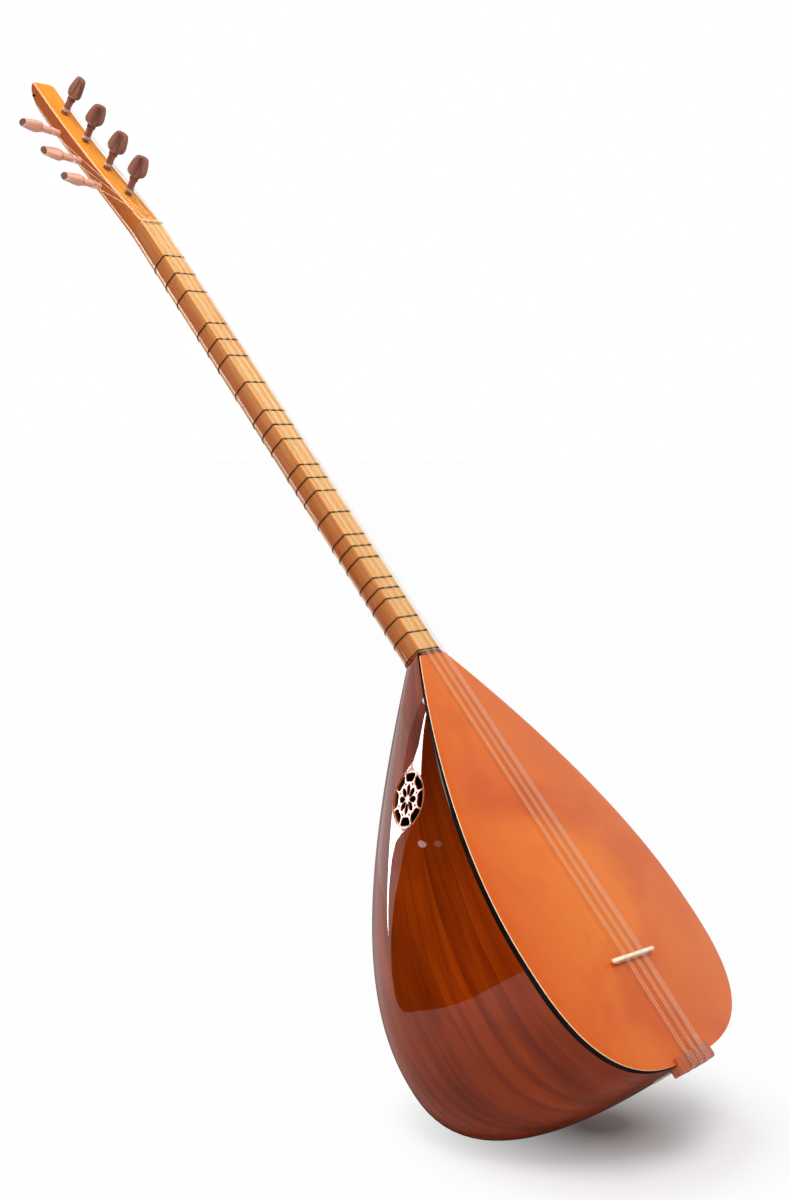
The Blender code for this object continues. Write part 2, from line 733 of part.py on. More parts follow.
def d_section(half, side, full, arris, steps):
    """A flat top with chamfered edges, flat sides and a half-oval back, as (x, z) with its top at 0."""
    back = []
    for k in range(steps + 1):
        turn = math.pi * k / steps
        back.append((-half * math.cos(turn), -side - (full - side) * math.sin(turn)))
    return [(-half + arris, 0.0), (-half, -arris), *back, (half, -arris), (half - arris, 0.0)]


def neck_size(y):
    """Half width, side height and depth of the neck at y."""
    share = (y - NECK_JOINT) / (SCALE_LENGTH - NECK_JOINT)
    half = NECK_HALF_WIDTH + (NUT_HALF_WIDTH - NECK_HALF_WIDTH) * share
    return half, NECK_SIDE, NECK_DEPTH + (NUT_DEPTH - NECK_DEPTH) * share


NECK_END = SCALE_LENGTH + NUT_WIDTH / 2  # the neck's and the nut's common end


def neck():
    """The neck with its tenon into the bowl, the nut's seat and a mortise for the headstock."""
    start = NECK_JOINT + GAP
    sections = []
    for k in range(NECK_STEPS + 1):
        y = start + (NECK_END - start) * k / NECK_STEPS
        half, side, full = neck_size(y)
        sections.append([Vector((x, y, z)) for x, z in d_section(half, side, full, ARRIS, BACK_STEPS)])
    made = loft("neck", sections)
    tenon = box(
        "neck_tenon",
        (-TENON_HALF_WIDTH, NECK_JOINT - TENON_LENGTH, -TENON_BOTTOM),
        (TENON_HALF_WIDTH, start + 5 * GAP, -TENON_TOP),
    )
    cut(made, tenon, "UNION")
    half = NECK_HALF_WIDTH
    seat = box("nut_seat", (-half, NECK_END - NUT_WIDTH - GAP, -NUT_SEAT), (half, NECK_END + half, half))
    cut(made, seat)
    mortise = box(
        "head_mortise",
        (-TENON_HALF_WIDTH - GAP, NECK_END - HEAD_TENON - GAP, -TENON_BOTTOM - GAP),
        (TENON_HALF_WIDTH + GAP, NECK_END + GAP, -TENON_TOP + GAP),
    )
    cut(made, mortise)
    dress(made, VARNISHED_NECK, 0.2, coat=0.6)


HEAD_START = NECK_END + GAP
HEAD_END = SCALE_LENGTH + HEAD_LENGTH
HEAD_CURVE = (
    (HEAD_START, 0.0),
    (HEAD_START + (SCALE_LENGTH + HEAD_BEND - HEAD_START) * 2 / 3, -HEAD_BEND_FALL * 2 / 3),
    (HEAD_END - (HEAD_LENGTH - HEAD_BEND) * 2 / 3, -HEAD_SWEEP + (HEAD_SWEEP - HEAD_BEND_FALL) * 2 / 3),
    (HEAD_END, -HEAD_SWEEP),
)


def head_face(y):
    """Height of the headstock's face at y."""
    return curve_value(HEAD_CURVE, y)


def head_normal(y):
    """Direction square to the headstock's face at y."""
    step = 1e-4
    slope = (head_face(y + step) - head_face(y - step)) / (2 * step)
    return Vector((0, -slope, 1)).normalized()


def head_size(y):
    """Half width, side height and depth of the headstock at y: it thins to its waist, then to a rounded tip."""
    waist = SCALE_LENGTH + HEAD_WAIST
    if y < waist:
        share = 1 - ((waist - y) / (waist - HEAD_START)) ** 2
        side = NECK_SIDE + (HEAD_WAIST_SIDE - NECK_SIDE) * share
        return NUT_HALF_WIDTH, side, NUT_DEPTH + (HEAD_WAIST_DEPTH - NUT_DEPTH) * share
    share = (y - waist) / (HEAD_END - waist)
    side = HEAD_WAIST_SIDE + (HEAD_TIP_SIDE - HEAD_WAIST_SIDE) * share
    full = HEAD_WAIST_DEPTH + (HEAD_TIP_DEPTH - HEAD_WAIST_DEPTH) * share
    nose = min(max(1 - (HEAD_END - y) / NOSE_LENGTH, 0.0), 1.0)
    edge = NOSE_EDGE / HEAD_TIP_DEPTH
    kept = edge + (1 - edge) * math.sqrt(1 - nose**2)
    return NUT_HALF_WIDTH, side * kept, full * kept


def head_stations():
    """Places of the headstock's sections, closer together where its tip rounds off."""
    nose = HEAD_END - NOSE_LENGTH
    even = [HEAD_START + (nose - HEAD_START) * k / HEAD_STEPS for k in range(HEAD_STEPS)]
    turns = [math.pi / 2 * k / NOSE_STEPS for k in range(NOSE_STEPS + 1)]
    return even + [nose + NOSE_LENGTH * math.sin(turn) for turn in turns]


def peg_seats():
    """Seat on the wood, direction, length outside the wood and wood thickness of each peg, by name."""
    seats = {}
    for beyond, lean in zip(FRONT_PEGS, FRONT_LEANS):
        y = SCALE_LENGTH + beyond
        ahead, aside = (math.tan(math.radians(angle)) for angle in lean)
        direction = (head_normal(y) + Vector((-aside, ahead, 0))).normalized()
        seat = Vector((0, y, head_face(y)))
        seats[f"peg_{len(seats) + 1}"] = (seat, direction, FRONT_PEG_OUT, head_size(y)[2])
    for beyond in SIDE_PEGS:
        y = SCALE_LENGTH + beyond
        ahead, forwards = (math.tan(math.radians(angle)) for angle in SIDE_LEAN)
        direction = Vector((-1, ahead, forwards)).normalized()
        seat = Vector((-NUT_HALF_WIDTH, y, head_face(y) - SIDE_PEG_DEPTH))
        seats[f"peg_{len(seats) + 1}"] = (seat, direction, SIDE_PEG_OUT, 2 * NUT_HALF_WIDTH)
    return seats


def headstock():
    """The headstock, swept back from the nut, with a tenon into the neck and tapered peg holes."""
    sections = []
    for y in head_stations():
        half, side, full = head_size(y)
        top = head_face(y)
        profile = d_section(half, side, full, ARRIS, BACK_STEPS)
        sections.append([Vector((x, y, top + z)) for x, z in profile])
    made = loft("headstock", sections)
    tenon = box(
        "head_tenon",
        (-TENON_HALF_WIDTH, NECK_END - HEAD_TENON, -TENON_BOTTOM),
        (TENON_HALF_WIDTH, HEAD_START + 5 * GAP, -TENON_TOP),
    )
    cut(made, tenon, "UNION")
    for name, (seat, direction, _, through) in peg_seats().items():
        out = 2 * PEG_FACE_RADIUS
        more = (PEG_FACE_RADIUS - PEG_END_RADIUS) * out / through
        widen = 1 / math.cos(math.pi / HOLE_SIDES)
        cutter = round_bar(
            f"{name}_hole",
            seat + direction * out,
            seat - direction * (through + out),
            (PEG_FACE_RADIUS + more + TURN_GAP) * widen,
            (PEG_END_RADIUS - more + TURN_GAP) * widen,
            HOLE_SIDES,
        )
        cut(made, cutter)
    pin = tip_pin_seat()
    room = Vector((GAP, 0, 0))
    wide = (TIP_PIN_RADIUS + GAP) / math.cos(math.pi / HOLE_SIDES)
    start, end = pin - Vector((2 * TIP_PIN_OUT, 0, 0)), pin + Vector((TIP_PIN_IN, 0, 0)) + room
    cut(made, round_bar("tip_pin_hole", start, end, wide, wide, HOLE_SIDES))
    half = NUT_HALF_WIDTH
    tip_top = head_face(HEAD_END)
    corner = [(half + GAP, HEAD_END + GAP), (half + GAP, HEAD_END - TIP_ROUND)]
    for k in range(1, TIP_ROUND_STEPS):
        turn = math.pi / 2 * k / TIP_ROUND_STEPS
        corner.append((half - TIP_ROUND * (1 - math.cos(turn)), HEAD_END - TIP_ROUND * (1 - math.sin(turn))))
    corner.append((half - TIP_ROUND, HEAD_END))
    corner.append((half - TIP_ROUND, HEAD_END + GAP))
    points = [(x, y, tip_top - 2 * HEAD_TIP_DEPTH) for x, y in corner]
    cut(made, prism("tip_corner", points, (0, 0, 3 * HEAD_TIP_DEPTH)))
    dress(made, ORANGE_HEAD, 0.2, coat=0.6)


def tip_pin_seat():
    """Where the pin leaves the headstock's left side, near its tip."""
    y = HEAD_END - TIP_PIN_FROM_END
    return Vector((-NUT_HALF_WIDTH, y, head_face(y) - TIP_PIN_DEPTH))


def tip_pin():
    """The small pin in the headstock's left side, for a hanging loop."""
    seat = tip_pin_seat()
    out, into = Vector((-TIP_PIN_OUT, 0, 0)), Vector((TIP_PIN_IN, 0, 0))
    made = round_bar("tip_pin", seat + out, seat + into, TIP_PIN_RADIUS, TIP_PIN_RADIUS, HOLE_SIDES)
    dress(made, BLACK_EDGE, 0.3)


def string_rows():
    """Each string's radius, place at the nut and place at the bridge, from the left."""
    rows = []
    for course, count in ((-1, 2), (0, 2), (1, 3)):
        for k in range(count):
            off = k - (count - 1) / 2
            spread = 1.0 if count == 2 else TRIPLE_SPREAD
            radius = WOUND_RADIUS if course < 1 and k == 0 else PLAIN_RADIUS
            at_nut = course * COURSE_AT_NUT + off * PAIR_AT_NUT * spread
            at_bridge = BRIDGE_OFF + course * COURSE_AT_BRIDGE + off * PAIR_AT_BRIDGE * spread
            rows.append((radius, at_nut, at_bridge))
    return rows


NUT_STRING_Z = NUT_HEIGHT - PLAIN_RADIUS
BRIDGE_STRING_Z = BRIDGE_HEIGHT + GAP - PLAIN_RADIUS


def grooves(made, places, y_low, y_high, z, spread):
    """Cuts a round groove for each string across a piece."""
    for k, (radius, x_low, x_high) in enumerate(places):
        name = f"{made.name}_groove_{k + 1}"
        wide = (radius + spread) / math.cos(math.pi / GROOVE_SIDES)
        cut(made, round_bar(name, (x_low, y_low, z), (x_high, y_high, z), wide, wide, GROOVE_SIDES))


def nut():
    """The pale strip that spaces the strings at the headstock."""
    half = NUT_HALF_WIDTH - ARRIS / 2
    low, high = NECK_END - NUT_WIDTH, NECK_END
    profile = [(low, GAP - NUT_SEAT), (low, NUT_HEIGHT), (high - GAP, NUT_HEIGHT), (high, NUT_HEIGHT - 2 * GAP)]
    profile.append((high, GAP - NUT_SEAT))
    made = prism("nut", [(-half, y, z) for y, z in profile], (2 * half, 0, 0))
    places = [(radius, at_nut, at_nut) for radius, at_nut, _ in string_rows()]
    grooves(made, places, low - GAP, high + GAP, NUT_STRING_Z, GROOVE_GAP)
    dress(made, BONE, 0.4)


# Bridge and tailpiece


def bridge_turned(x, y):
    """A point of the bridge's plan, turned by its skew."""
    cos, sin = math.cos(BRIDGE_SKEW), math.sin(BRIDGE_SKEW)
    return x * cos - y * sin, x * sin + y * cos


def bridge():
    """The bridge: a foot with small arches under the strings and thin ends that stand clear."""
    half, foot = BRIDGE_LENGTH / 2, BRIDGE_FOOT / 2
    top = BRIDGE_HEIGHT + GAP
    underside = top - BRIDGE_TIP_HEIGHT
    profile = [(-half, underside), (-foot, GAP)]
    for course in (-1, 0, 1):
        middle = course * COURSE_AT_BRIDGE
        for k in range(ARCH_STEPS + 1):
            turn = math.pi * k / ARCH_STEPS
            x = middle - ARCH_WIDTH / 2 * math.cos(turn)
            profile.append((x, GAP + ARCH_HEIGHT * math.sin(turn)))
    profile += [(foot, GAP), (half, underside), (half, top), (-half, top)]
    bm = bmesh.new()
    rings = []
    for side in (-1, 1):
        ring = []
        for x, z in profile:
            share = (z - GAP) / BRIDGE_HEIGHT
            width = BRIDGE_WIDTH + (BRIDGE_TOP_WIDTH - BRIDGE_WIDTH) * share
            across, along = bridge_turned(x, side * width / 2)
            ring.append(bm.verts.new((BRIDGE_OFF + across, along, z)))
        rings.append(ring)
        bm.faces.new(ring)
    join_rings(bm, rings)
    made = finish_mesh("bridge", bm)
    places = [(radius, at_bridge, at_bridge) for radius, _, at_bridge in string_rows()]
    grooves(made, places, -2 * BRIDGE_WIDTH, 2 * BRIDGE_WIDTH, BRIDGE_STRING_Z, GROOVE_GAP + PLAIN_RADIUS)
    dress(made, BONE, 0.45)
    return made


def tailpiece():
    """The block hooked over the tail edge, with a rounded outer corner and a groove for each string."""
    inner = -TAIL_LENGTH - GAP
    outer = -TAIL_LENGTH - TAILPIECE_OUT
    profile = [
        (inner + TAILPIECE_LEDGE, GAP),
        (inner + TAILPIECE_LEDGE, TAILPIECE_TOP - GAP),
        (inner + TAILPIECE_LEDGE - GAP, TAILPIECE_TOP),
    ]
    for k in range(TAILPIECE_CURVE_STEPS + 1):
        turn = math.pi / 2 * k / TAILPIECE_CURVE_STEPS
        along = outer + TAILPIECE_CURVE * (1 - math.sin(turn))
        profile.append((along, TAILPIECE_TOP - TAILPIECE_CURVE * (1 - math.cos(turn))))
    profile += [(outer, -TAILPIECE_DROP + GAP), (outer + GAP, -TAILPIECE_DROP), (inner, -TAILPIECE_DROP), (inner, GAP)]
    points = [(TAILPIECE_OFF - TAILPIECE_HALF, y, z) for y, z in profile]
    made = prism("tailpiece", points, (2 * TAILPIECE_HALF, 0, 0))
    places = [(radius, at_bridge, at_bridge) for radius, _, at_bridge in string_rows()]
    grooves(made, places, outer - TAILPIECE_CURVE, inner + 2 * TAILPIECE_LEDGE, TAILPIECE_TOP, GROOVE_GAP)
    dress(made, RED_WOOD, 0.35, coat=0.4)


# Rosettes


def rosette_seats():
    """Centre on the bowl's surface, outward normal and radius of each rosette, by name."""
    inside = Vector((0, SIDE_ROSETTE_Y, SIDE_ROSETTE_Z))
    side_centre = surface_from(inside, Vector((-1, 0, 0)), HALF_WIDTH)
    tail_centre = Vector((0, tail_y(0, TAIL_ROSETTE_Z), TAIL_ROSETTE_Z))
    return {
        "side_rosette": (side_centre, surface_normal(side_centre), SIDE_ROSETTE_RADIUS),
        "tail_rosette": (tail_centre, surface_normal(tail_centre), TAIL_ROSETTE_RADIUS),
    }


def polar(radius, angle):
    return radius * math.cos(angle), radius * math.sin(angle)


def lattice_loops(radius, with_petals):
    """The rosette's outer circle and the outlines of its openings, flat."""
    loops = [[polar(radius, math.tau * k / ROSETTE_SIDES) for k in range(ROSETTE_SIDES)]]
    pitch = math.tau / PETALS
    rim, shoulder, foot = (share * radius for share in OPENING_RADII)
    wide, narrow = (share * pitch for share in OPENING_WIDTHS)
    for k in range(PETALS):
        middle = pitch * k
        opening = [polar(rim, middle + wide * s) for s in (-1, -0.5, 0, 0.5, 1)]
        opening += [polar(shoulder, middle + wide), polar(foot, middle + narrow)]
        opening += [polar(foot, middle - narrow), polar(shoulder, middle - wide)]
        loops.append(opening)
        if with_petals:
            loops.append([polar(r * radius, middle + pitch * (0.5 + off)) for r, off in PETAL_FORM])
    return loops


def rosettes():
    """Two pierced discs let into the bowl's wall, bent to its surface."""
    for name, (centre, normal, radius) in rosette_seats().items():
        up = (Vector((0, 1, 0)) - normal * normal.y) if abs(normal.y) < 0.9 else Vector((0, 0, 1))
        up = (up - normal * up.dot(normal)).normalized()
        across = up.cross(normal)
        bm = bmesh.new()
        for loop in lattice_loops(radius, name == "side_rosette"):
            verts = [bm.verts.new((*point, 0)) for point in loop]
            for k, vert in enumerate(verts):
                bm.edges.new((vert, verts[(k + 1) % len(verts)]))
        bmesh.ops.triangle_fill(bm, use_beauty=True, edges=bm.edges, normal=(0, 0, 1))
        flat = list(bm.verts)
        pushed = bmesh.ops.extrude_face_region(bm, geom=list(bm.faces))["geom"]
        deep = [g for g in pushed if isinstance(g, bmesh.types.BMVert)]
        for verts, below in ((flat, 0.0), (deep, ROSETTE_THICKNESS)):
            for vert in verts:
                inside = centre + across * vert.co.x + up * vert.co.y - normal * (5 * WALL)
                vert.co = surface_from(inside, normal, 10 * WALL) - normal * below
        dress(finish_mesh(name, bm), LACQUERED_BOWL, 0.15, coat=0.7)


# Pegs


def peg_profile(out, through):
    """Distance along the axis, half width and half thickness of each section of a peg."""
    head = out - PEG_HEAD_LENGTH
    end = -through - PEG_END_OUT
    collar = head - PEG_COLLAR_LENGTH
    shaft = [
        (end, PEG_END_RADIUS - GAP), (end + GAP, PEG_END_RADIUS), (-through, PEG_END_RADIUS),
        (0.0, PEG_FACE_RADIUS), (collar - PEG_COLLAR_STEP, PEG_FACE_RADIUS), (collar, PEG_COLLAR_RADIUS),
        (head - PEG_COLLAR_STEP, PEG_COLLAR_RADIUS),
    ]
    rows = [(along, radius, radius) for along, radius in shaft]
    for share, wide, thick in PEG_HEAD_FORM:
        rows.append((head + PEG_HEAD_LENGTH * share, PEG_HEAD_HALF * wide, PEG_HEAD_THICK * thick))
    return rows


def pegs(frame):
    """The seven pegs, each turning on its own axis, with a flattened head."""
    for (name, (seat, direction, out, through)), turn in zip(peg_seats().items(), PEG_TURNS):
        sections = []
        for along, wide, thick in peg_profile(out, through):
            ring = []
            for k in range(PEG_SIDES):
                angle = math.tau * (k + 0.5) / PEG_SIDES
                ring.append((wide * math.cos(angle), thick * math.sin(angle), along))
            sections.append(ring)
        made = loft(name, sections)
        made.parent = frame
        made.location = seat
        across = Vector((0, 1, 0)).cross(direction).normalized()
        broad = Matrix.Rotation(math.radians(turn), 3, direction) @ across
        made.rotation_euler = Matrix((broad, direction.cross(broad), direction)).transposed().to_euler()
        dress(made, PEG_WOOD, 0.35)


# Frets


def fret_places():
    """Each fret's y, from the nut to the bowl."""
    places = [SCALE_LENGTH / ratio for ratio in FRET_RATIOS]
    places.append(NECK_JOINT + LAST_FRET_OFF)
    return places


def fret_loop(y):
    """One turn round the neck at y, clear of it all round, as (x, z)."""
    half, side, full = neck_size(y)
    off = GAP + FRET_RADIUS
    corner = off * math.tan(math.pi / 8)
    bulge = 1 / math.cos(math.pi / FRET_BACK_STEPS / 2)
    wide, deep = (half + off) * bulge, (full - side + off) * bulge
    loop = [(-half + ARRIS - corner, off), (-half - off, corner - ARRIS)]
    for k in range(FRET_BACK_STEPS):
        turn = math.pi * (k + 0.5) / FRET_BACK_STEPS
        loop.append((-wide * math.cos(turn), -side - deep * math.sin(turn)))
    loop += [(half + off, corner - ARRIS), (half - ARRIS + corner, off)]
    return loop


def frets(frame):
    """The tied frets: each is two turns of one line round the neck, ending behind it."""
    least = math.inf
    for number, place in enumerate(fret_places(), 1):
        loop = fret_loop(place)
        count = len(loop)
        start = count // 2
        points = []
        steps = FRET_TURNS * count
        for k in range(steps + 1):
            x, z = loop[(start + k) % count]
            points.append(Vector((x, FRET_PITCH * (k / count - FRET_TURNS / 2), z)))
        least = min(least, least_gap(points, FRET_RADIUS, count))
        made = tube(f"fret_{number:02d}", points, FRET_RADIUS)
        made.parent = frame
        made.location = (0, place, 0)
        dress(made, FRET_LINE, 0.35)
    print(f"least gap between a fret's turns: {least * 1000:.2f} mm")


# Strings


def winding(seat, direction, radius, place, start_dir, sense):
    """The turns of a string round a peg, from the side that it comes to, their middle at place along the peg."""
    u = (start_dir - direction * start_dir.dot(direction)).normalized()
    v = direction.cross(u) * sense
    reach = (PEG_FACE_RADIUS + GAP + radius) / math.cos(math.pi / WINDING_POINTS)
    points = []
    for k in range(WINDING_TURNS * WINDING_POINTS + 1):
        turn = math.tau * k / WINDING_POINTS
        along = place + WINDING_PITCH * (WINDING_TURNS / 2 - k / WINDING_POINTS)
        points.append(seat + direction * along + (u * math.cos(turn) + v * math.sin(turn)) * reach)
    return points


def string_points(radius, at_nut, at_bridge, peg_name):
    """A string from its loop on the tailpiece over bridge and nut to its peg."""
    seat, direction, _, _ = peg_seats()[peg_name]
    outer = -TAIL_LENGTH - TAILPIECE_OUT
    off = GAP + radius
    bend = TAILPIECE_CURVE + off
    points = [Vector((at_bridge, outer - off, -TAILPIECE_DROP / 2))]
    for k in range(STRING_BEND_STEPS + 1):
        turn = math.pi / 2 * k / STRING_BEND_STEPS
        along = outer + TAILPIECE_CURVE - bend * math.cos(turn)
        points.append(Vector((at_bridge, along, TAILPIECE_TOP - TAILPIECE_CURVE + bend * math.sin(turn))))
    points += [
        Vector((at_bridge, -TAIL_LENGTH + TAILPIECE_LEDGE / 2, TAILPIECE_TOP + off)),
        Vector((at_bridge, 0, BRIDGE_STRING_Z)),
        Vector((at_nut, SCALE_LENGTH - NUT_WIDTH, NUT_STRING_Z)),
        Vector((at_nut, NECK_END, NUT_STRING_Z)),
    ]
    if abs(direction.x) > 0.5:
        over = SCALE_LENGTH + EDGE_SHARE * (seat.y - SCALE_LENGTH)
        points.append(Vector((-NUT_HALF_WIDTH - 2 * off, over, head_face(over) + ARRIS)))
        points += winding(seat, direction, radius, SIDE_WINDING, Vector((0, -1, 0.25)), 1)
    else:
        sense = 1 if at_nut < 0 else -1
        points += winding(seat, direction, radius, FRONT_WINDING, Vector((-sense, -0.25, 0)), sense)
    return points


STRING_PEGS = ("peg_5", "peg_6", "peg_1", "peg_7", "peg_2", "peg_3", "peg_4")


def strings():
    """Seven strings in three courses, each one line with its turns on the peg."""
    least = math.inf
    for number, ((radius, at_nut, at_bridge), peg_name) in enumerate(zip(string_rows(), STRING_PEGS), 1):
        points = string_points(radius, at_nut, at_bridge, peg_name)
        wound = points[-WINDING_TURNS * WINDING_POINTS - 1 :]
        least = min(least, least_gap(wound, radius, WINDING_POINTS))
        made = tube(f"string_{number}", points, radius)
        dress(made, BRONZE if radius == WOUND_RADIUS else STEEL, 0.3, metallic=1.0)
    print(f"least gap between a string's turns on its peg: {least * 1000:.2f} mm")


# The whole instrument


def lowest_point():
    """The point of the bowl's keel that is lowest once the instrument leans back."""
    steps = 2000
    best = None
    for k in range(steps + 1):
        turn = math.pi / 2 * k / steps
        y = DEEPEST - (DEEPEST + TAIL_LENGTH) * math.cos(turn) ** (2 / ROUNDNESS)
        z = -DEPTH * math.sin(turn) ** (2 / ROUNDNESS)
        height = y * math.cos(LEAN) + z * math.sin(LEAN)
        if best is None or height < best[0]:
            best = (height, Vector((0, y, z)))
    return best[1]


def main():
    for old in list(bpy.data.objects):
        bpy.data.objects.remove(old, do_unlink=True)
    frame = bpy.data.objects.new("saz_frame", None)
    bpy.context.scene.collection.objects.link(frame)
    tilt = math.pi / 2 - LEAN
    low = lowest_point()
    frame.rotation_euler = (tilt, 0, 0)
    cos, sin = math.cos(tilt), math.sin(tilt)
    frame.location = (0, -(low.y * cos - low.z * sin), -(low.y * sin + low.z * cos))
    bowl()
    soundboard()
    edge_binding()
    linings()
    braces()
    neck_block()
    tail_block()
    neck()
    headstock()
    nut()
    tip_pin()
    bridge()
    tailpiece()
    rosettes()
    pegs(frame)
    frets(frame)
    strings()
    for made in bpy.context.scene.objects:
        if made is not frame and made.parent is None:
            made.parent = frame


main()
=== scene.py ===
import json
import math

import bmesh
import bpy
from bpy.props import FloatProperty, FloatVectorProperty, IntProperty, PointerProperty
from mathutils import Matrix, Quaternion, Vector


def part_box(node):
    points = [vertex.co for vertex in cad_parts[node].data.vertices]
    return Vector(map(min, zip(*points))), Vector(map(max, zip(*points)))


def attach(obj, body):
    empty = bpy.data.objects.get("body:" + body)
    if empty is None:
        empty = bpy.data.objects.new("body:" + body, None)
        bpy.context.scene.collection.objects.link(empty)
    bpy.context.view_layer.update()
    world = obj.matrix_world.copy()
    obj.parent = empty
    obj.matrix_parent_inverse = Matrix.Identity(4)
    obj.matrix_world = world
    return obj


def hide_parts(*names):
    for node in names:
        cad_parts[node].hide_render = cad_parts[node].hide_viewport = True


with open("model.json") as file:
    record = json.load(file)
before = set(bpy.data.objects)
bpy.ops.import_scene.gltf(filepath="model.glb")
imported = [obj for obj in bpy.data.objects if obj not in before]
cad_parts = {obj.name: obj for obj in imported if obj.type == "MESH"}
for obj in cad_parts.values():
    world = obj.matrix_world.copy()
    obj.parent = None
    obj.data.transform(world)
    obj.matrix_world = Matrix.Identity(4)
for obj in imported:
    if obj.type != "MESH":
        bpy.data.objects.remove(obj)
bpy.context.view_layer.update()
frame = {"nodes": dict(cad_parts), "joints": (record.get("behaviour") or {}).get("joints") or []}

bl_info = {
    "name": "Long-necked saz",
    "version": (1, 0, 0),
    "blender": (4, 5, 0),
    "location": "3D View > Sidebar > Saz",
    "description": "Builds the finished surfaces of a stave-built saz round its frame",
    "category": "Object",
}

# Sizes that the pieces share with the frame, in metres: X across, Y along the neck, Z out of the soundboard
SCALE_LENGTH = 0.880
NECK_JOINT = SCALE_LENGTH * 3 / 8
TAIL_LENGTH = 0.097
GAP = 0.0003
HALF_WIDTH, DEPTH = 0.1275, 0.2565
WIDEST, DEEPEST = 0.0325, 0.0190
ROUNDNESS, TAIL_SQUARENESS = 2.49, 2.80
WALL = 0.0035
STAVES = 19
SEAM_TAIL_DEPTH, SEAM_NECK_DEPTH = 0.047, 0.012
BINDING_WIDTH, BINDING_HEIGHT, BINDING_NECK_HEIGHT, BINDING_TAPER = 0.0012, 0.0060, 0.0032, 0.130
BOARD_THICKNESS, LIP_THICKNESS = 0.003, 0.0010
LIP_LENGTH = 0.0035
NECK_HALF_WIDTH, NUT_HALF_WIDTH = 0.0156, 0.0141
NECK_DEPTH, NUT_DEPTH, NECK_SIDE, ARRIS = 0.0298, 0.0272, 0.0140, 0.0014
NUT_WIDTH, NUT_HEIGHT, NUT_SEAT = 0.003, 0.0022, 0.003
NECK_END = SCALE_LENGTH + NUT_WIDTH / 2
HEAD_START = NECK_END + GAP
HEAD_END = SCALE_LENGTH + 0.2275
HEAD_BEND, HEAD_BEND_FALL, HEAD_SWEEP = 0.1214, 0.0182, 0.0203
HEAD_WAIST, HEAD_WAIST_DEPTH, HEAD_WAIST_SIDE = SCALE_LENGTH + 0.115, 0.0210, 0.0120
HEAD_TIP_DEPTH, HEAD_TIP_SIDE, NOSE_LENGTH, NOSE_EDGE = 0.0195, 0.0115, 0.026, 0.0030
TIP_ROUND = 0.008
BRIDGE_OFF, BRIDGE_LENGTH, BRIDGE_WIDTH, BRIDGE_TOP_WIDTH = -0.0015, 0.061, 0.0045, 0.0030
BRIDGE_HEIGHT, BRIDGE_TIP_HEIGHT, BRIDGE_FOOT, BRIDGE_SKEW = 0.0068, 0.0026, 0.038, math.radians(-3)
TAILPIECE_OFF, TAILPIECE_HALF, TAILPIECE_LEDGE, TAILPIECE_TOP = -0.0035, 0.0255, 0.006, 0.0045
TAILPIECE_CURVE, TAILPIECE_OUT, TAILPIECE_DROP = 0.0030, 0.008, 0.0085
COURSE_AT_NUT, COURSE_AT_BRIDGE, PAIR_AT_NUT, PAIR_AT_BRIDGE = 0.0088, 0.0123, 0.0024, 0.0032
TRIPLE_SPREAD, WOUND_RADIUS, PLAIN_RADIUS = 0.8, 0.0003, 0.0002
STRING_PEGS = ("peg_5", "peg_6", "peg_1", "peg_7", "peg_2", "peg_3", "peg_4")
PEG_FACE_RADIUS, PEG_END_RADIUS, PEG_HEAD_LENGTH = 0.0037, 0.0030, 0.0240
PEG_HEAD_HALF, PEG_HEAD_THICK = 0.0101, 0.0059
NOTCH_ROOM = 0.00018  # lets the bridge slide under its strings, which slope down to the tail
SIDE_ROSETTE = (0.215, -0.054, 0.0245)  # its place along Y and Z, and its radius
SIDE_ROSETTE_TURN = math.radians(-30)  # its pointed ornaments stand off the neck's direction
TAIL_ROSETTE = (-0.037, 0.0110)  # its place along Z, and its radius
ROSETTE_THICKNESS = 0.0025

JOINTS = {joint["name"]: joint for joint in frame["joints"]}
ALONG = Vector(JOINTS["bridge_shift"]["axis"]).normalized()
ACROSS = Vector((1, 0, 0))
OUT = ACROSS.cross(ALONG)


def instrument_place():
    """The matrix from the saz's own directions to the frame, found from the board's top and the bowl's tail."""
    top = max(v.co.dot(OUT) for v in frame["nodes"]["soundboard"].data.vertices)
    tail = min(v.co.dot(ALONG) for v in frame["nodes"]["bowl"].data.vertices)
    turn = Matrix((ACROSS, ALONG, OUT)).transposed().to_4x4()
    return Matrix.Translation(ALONG * (tail + TAIL_LENGTH) + OUT * top) @ turn


SAZ = instrument_place()
TO_SAZ = SAZ.inverted()


# Curves of the body


def bezier(points, t):
    weights = ((1 - t) ** 3, 3 * t * (1 - t) ** 2, 3 * t * t * (1 - t), t**3)
    return [sum(w * p[k] for w, p in zip(weights, points)) for k in range(2)]


def curve_value(points, y):
    """The second value of a cubic curve where its first is y."""
    low, high = 0.0, 1.0
    for _ in range(30):
        middle = (low + high) / 2
        if bezier(points, middle)[0] < y:
            low = middle
        else:
            high = middle
    return bezier(points, (low + high) / 2)[1]


FLANK_CURVE = ((WIDEST, HALF_WIDTH), (0.1175, HALF_WIDTH), (0.219, 0.0875), (NECK_JOINT, NECK_HALF_WIDTH))
KEEL_CURVE = ((DEEPEST, DEPTH), (0.121, DEPTH), (0.218, 0.1545), (NECK_JOINT, NECK_DEPTH))
LEAST_SIZE = 1e-6


def tail_share(y, start, power):
    reach = min(max((start - y) / (start + TAIL_LENGTH), 0.0), 1.0)
    return max((1 - reach**power) ** (1 / power), LEAST_SIZE)


def half_width(y):
    if y < WIDEST:
        return HALF_WIDTH * tail_share(y, WIDEST, TAIL_SQUARENESS)
    return curve_value(FLANK_CURVE, min(y, NECK_JOINT))


